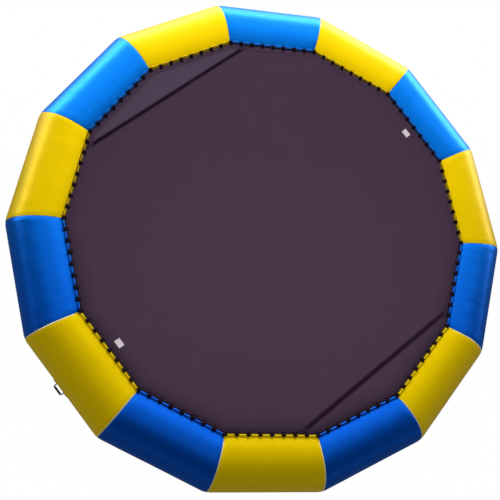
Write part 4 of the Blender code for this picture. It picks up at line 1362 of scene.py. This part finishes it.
class BOUNCER_OT_handle(bpy.types.Operator):
    """The grab handle: patch, webbing strap, sewn ends and ribbed grip"""
    bl_idname = "bouncer.handle"
    bl_label = "Grab handle"

    def execute(self, context):
        patch_piece("handle_patch_vinyl", HANDLE_SECTION, "handle_patch", 0.270, 0.084, 0.0)
        turn = section_place(HANDLE_SECTION)
        side, leg, width, bend = 0.070, 0.012, 0.018, 0.010
        top = OUTER_APOTHEM + 0.039
        foot = OUTER_APOTHEM + 0.0027
        middle = side - leg / 2
        right = [(foot, middle), (foot + 0.008, middle - 0.0003), (top - bend - 0.003, middle)]
        for index in range(6):
            angle = math.radians(90 * index / 5)
            right.append((top - bend + bend * math.sin(angle), middle - bend + bend * math.cos(angle)))
        path = right + [(top, 0.03), (top, 0.0), (top, -0.03)] + [(x, -y) for x, y in reversed(right)]
        strap = band_along("handle_webbing", path, width, leg, rolled=True)
        strap.data.transform(turn)
        settle_across(strap, ["handle_strap"])
        thickness, half, sewn, rim = 0.0025, 0.023, 0.018, 0.0055
        for name, way in (("left", -1), ("right", 1)):
            middle = way * (side + REST_GAP + half)
            points = [(OUTER_APOTHEM + PATCH_TOP + thickness / 2, middle + half * step)
                      for step in (-1, -0.9, 0, 0.9, 1)]
            end = band_along(f"handle_end_{name}", points, width, thickness)
            box = [(OUTER_APOTHEM + PATCH_TOP + thickness, middle + along, TUBE_RADIUS + up)
                   for along, up in ((-sewn, -rim), (sewn, -rim), (sewn, rim), (-sewn, rim))]
            cross = [[box[0], box[2]], [box[1], box[3]], box + [box[0]]]
            end = joined(f"handle_end_{name}", [end, stitches(f"end_stitches_{name}", cross, size=0.42)])
            end.data.transform(turn)
            settle(end, "tube", f"handle_strap_end_{name}")
        profile = [(0.0035, -0.052), (0.0112, -0.052), (0.0124, -0.0513), (0.013, -0.0495)]
        for index in range(12):
            middle = -0.044 + 0.008 * index
            profile += [(0.0130, middle - 0.0028), (0.0122, middle - 0.0016), (0.0122, middle + 0.0016),
                        (0.0130, middle + 0.0028)]
        profile += [(0.013, 0.0495), (0.0124, 0.0513), (0.0112, 0.052), (0.0035, 0.052)]
        grip = turned("handle_grip_rubber", profile, 28, centre=(top, 0.0, TUBE_RADIUS))
        grip.data.materials.append(
            plain_finish("grip_rubber", (0.016, 0.016, 0.017), 0.62, 600.0, 0.0005, dust=0.10))
        slot = block("slot", (top, 0, TUBE_RADIUS), (leg + 0.0006, 0.13, width + 0.0006))
        grip = drilled(grip, new_object("slot", slot))
        grip.data.transform(turn)
        settle(grip, "handle", "handle_grip")
        return {"FINISHED"}


class BOUNCER_OT_valve(bpy.types.Operator):
    """The inflation valve with its ribbed cap"""
    bl_idname = "bouncer.valve"
    bl_label = "Inflation valve"

    def execute(self, context):
        moulding = plain_finish("valve_moulding", (0.030, 0.031, 0.034), 0.38, 1400.0, 0.00015, dust=0.10)
        grey = plain_finish("plunger_rubber", (0.18, 0.18, 0.19), 0.6, 900.0, 0.0002)
        black = plain_finish("valve_rubber", (0.014, 0.014, 0.015), 0.55, 900.0, 0.0002)
        for node, finish in (("valve_nut", moulding), ("valve_guide", moulding), ("valve_plunger", grey),
                             ("valve_diaphragm", black), ("valve_cap_seal", grey)):
            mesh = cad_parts[node].data
            mesh.materials.clear()
            mesh.materials.append(finish)
        body = turned("valve_housing", [
            (0.0257, 0.0120), (0.0260, 0.0116), (0.0260, 0.0034), (0.0335, 0.0033), (0.0350, 0.0026), (0.0360, 0.0012),
            (0.0360, 0.0003), (0.0235, 0.0002), (0.0235, -0.040), (0.011, -0.040), (0.011, -0.037), (0.0205, -0.037),
            (0.0205, 0.0114), (0.0208, 0.0120)], 64, closed=True)
        body.data.materials.append(moulding)
        settle(body, "tube", "valve_body")
        inside = 0.02682
        outside = inside + 0.0028
        cap = turned("valve_screw_cap", [
            (0.0, 0.0186), (outside - 0.0026, 0.0186), (outside - 0.0008, 0.0178), (outside - 0.0002, 0.0164),
            (outside - 0.0002, 0.0040), (outside - 0.0006, 0.0036), (inside, 0.0036), (inside, 0.0146),
            (0.0, 0.0146)], 64)
        cap.data.materials.append(moulding)
        sunk = outside - 0.0012
        rows = [[(radius, height, -0.0008), (radius, height, 0.0008), (sunk, height, 0.0014), (sunk, height, -0.0014)]
                for height, radius in ((0.0045, outside - 0.0006), (0.0055, outside + 0.0002),
                                       (0.0155, outside + 0.0002), (0.0168, outside - 0.0008))]
        ribs = repeated("cap_ribs", rib_tree(), new_object("rib_pattern", swept("rib_pattern", rows, smooth=False)),
                        Ribs=36, Moulding=moulding)
        ribs.data.transform(Matrix.Translation(VALVE_CENTRE))
        bar_mesh = block("finger_bar", (0.0, OUTER_APOTHEM + 0.0220, TUBE_RADIUS), (0.008, 0.0092, 0.044), 0.0024)
        bar_mesh.shade_smooth()
        cap = joined("valve_screw_cap", [cap, ribs, new_object("finger_bar", bar_mesh, moulding)])
        settle(cap, "valve_cap", "valve_cap")
        coils, steps, radius = 4, 20, 0.0052
        path = []
        for index in range(coils * steps + 1):
            angle = 2 * math.pi * index / steps
            height = COIL_LOW + (COIL_HIGH - COIL_LOW) * index / (coils * steps)
            path.append((radius * math.cos(angle), OUTER_APOTHEM + height, TUBE_RADIUS + radius * math.sin(angle)))
        settle_across(wire("valve_coil", path, 0.0005, coils * steps + 1), ["valve_spring"])
        return {"FINISHED"}


def mooring_tab(name):
    """Webbing folded round a ring's bar, its tail lying up the tube, with a sewn box near its end."""
    half, wall, tail = 0.018, 0.0022, 0.040
    nose = WIRE_RADIUS + REST_GAP + wall
    top = PATCH_TOP + wall
    outline = [(-tail, top), (-nose - 0.006, max(top, WIRE_RISE * 0.75))]
    core = [(-nose - 0.0002, WIRE_RISE - 0.0010), (-nose + wall * 0.8, WIRE_RISE)]
    for step in range(9):
        for ring, reach, start, sweep in ((outline, nose, 120, 200), (core, nose - wall, 150, 290)):
            angle = math.radians(start - sweep * step / 8)
            ring.append((reach * math.cos(angle), WIRE_RISE + reach * math.sin(angle)))
    outline += [(-nose * 0.7, PATCH_TOP + 0.0004), (-tail, PATCH_TOP)]
    core += [(-nose + wall * 0.8, WIRE_RISE - 0.0014), (-nose - 0.0002, WIRE_RISE - 0.0016)]
    sections = []
    uvs = []
    for index in range(5):
        across = half * (-1 + 2 * index / 4)
        rings = []
        for ring in (outline, core):
            places = [on_facet(MOORING_TURN, -along, height) for along, height in ring]
            rings.append([(place.x, across, place.y) for place in places])
            uvs += [(across, step * 0.004) for step in range(len(ring))]
        sections.append(rings)
    tab = new_object(name, hollow_sleeve(name, sections, uvs), black_webbing())
    box = []
    for along, around in ((-0.013, -0.034), (0.013, -0.034), (0.013, -0.016), (-0.013, -0.016)):
        rise = top - around ** 2 / 2 / TUBE_RADIUS + (0.0012 if around > -0.02 else 0.0)
        place = on_facet(MOORING_TURN, -around, rise)
        box.append((place.x, along, place.y))
    return joined(name, [tab, stitches(f"{name}_stitches", [box + [box[0]]], size=0.5)])


def mooring_outline():
    """A ring's wire from the middle of its bar: across, and down from the bar."""
    half, corner = 0.026, 0.005
    angles = [math.radians(90 * index / 5) for index in range(6)]
    bend = [(half - corner + corner * math.sin(angle), corner - corner * math.cos(angle)) for angle in angles]
    angles = [math.pi * index / 18 for index in range(19)]
    bow = [(half * math.cos(angle), 0.012 + half * math.sin(angle)) for angle in angles]
    return [(0.0, 0.0)] + bend + bow + [(-across, drop) for across, drop in reversed(bend)]


class BOUNCER_OT_moorings(bpy.types.Operator):
    """The three mooring rings with their patches and webbing tabs"""
    bl_idname = "bouncer.moorings"
    bl_label = "Mooring rings"

    def execute(self, context):
        bar = on_facet(MOORING_TURN, 0.0, WIRE_RISE)
        for number, section in enumerate(MOORING_SECTIONS, 1):
            turn = section_place(section)
            patch_piece(f"mooring_patch_{number}", section, f"anchor_patch_{number}", 0.130, 0.088, MOORING_TURN)
            tab = mooring_tab(f"mooring_tab_{number}")
            tab.data.transform(turn)
            settle(tab, "tube", f"anchor_tab_{number}")
            path = [turn @ Vector((bar.x, across, bar.y - drop)) for across, drop in mooring_outline()]
            ring = wire(f"mooring_ring_{number}", path, WIRE_RADIUS, 96, closed=True)
            settle(ring, f"anchor_ring_{number}", f"anchor_ring_{number}")
        return {"FINISHED"}


STEPS = (BOUNCER_OT_stage, BOUNCER_OT_ring, BOUNCER_OT_lacing, BOUNCER_OT_hem, BOUNCER_OT_bed, BOUNCER_OT_handle,
         BOUNCER_OT_valve, BOUNCER_OT_moorings)
GROUP_TYPES = {"ring": RingSettings, "lacing": LacingSettings, "bed": BedSettings, "stage": StageSettings}


class BOUNCER_PT_panel(bpy.types.Panel):
    """Sizes, finishes and building steps of the water bouncer"""
    bl_idname = "BOUNCER_PT_panel"
    bl_label = "Water Bouncer"
    bl_space_type = "VIEW_3D"
    bl_region_type = "UI"
    bl_category = "Water Bouncer"

    def draw(self, context):
        layout = self.layout
        for name, kind in GROUP_TYPES.items():
            column = layout.box().column()
            column.label(text=name.capitalize())
            for prop in kind.__annotations__:
                column.prop(settings(name), prop)
        for step in STEPS:
            layout.operator(step.bl_idname)


CLASSES = (*GROUP_TYPES.values(), *STEPS, BOUNCER_PT_panel)


def register():
    for item in CLASSES:
        bpy.utils.register_class(item)
    for name, kind in GROUP_TYPES.items():
        setattr(bpy.types.Scene, f"bouncer_{name}", bpy.props.PointerProperty(type=kind))


def unregister():
    for name in GROUP_TYPES:
        delattr(bpy.types.Scene, f"bouncer_{name}")
    for item in reversed(CLASSES):
        bpy.utils.unregister_class(item)


def main():
    register()
    for step in ("stage", "ring", "lacing", "hem", "bed", "handle", "valve", "moorings"):
        getattr(bpy.ops.bouncer, step)()


if __name__ == "__main__":
    main()
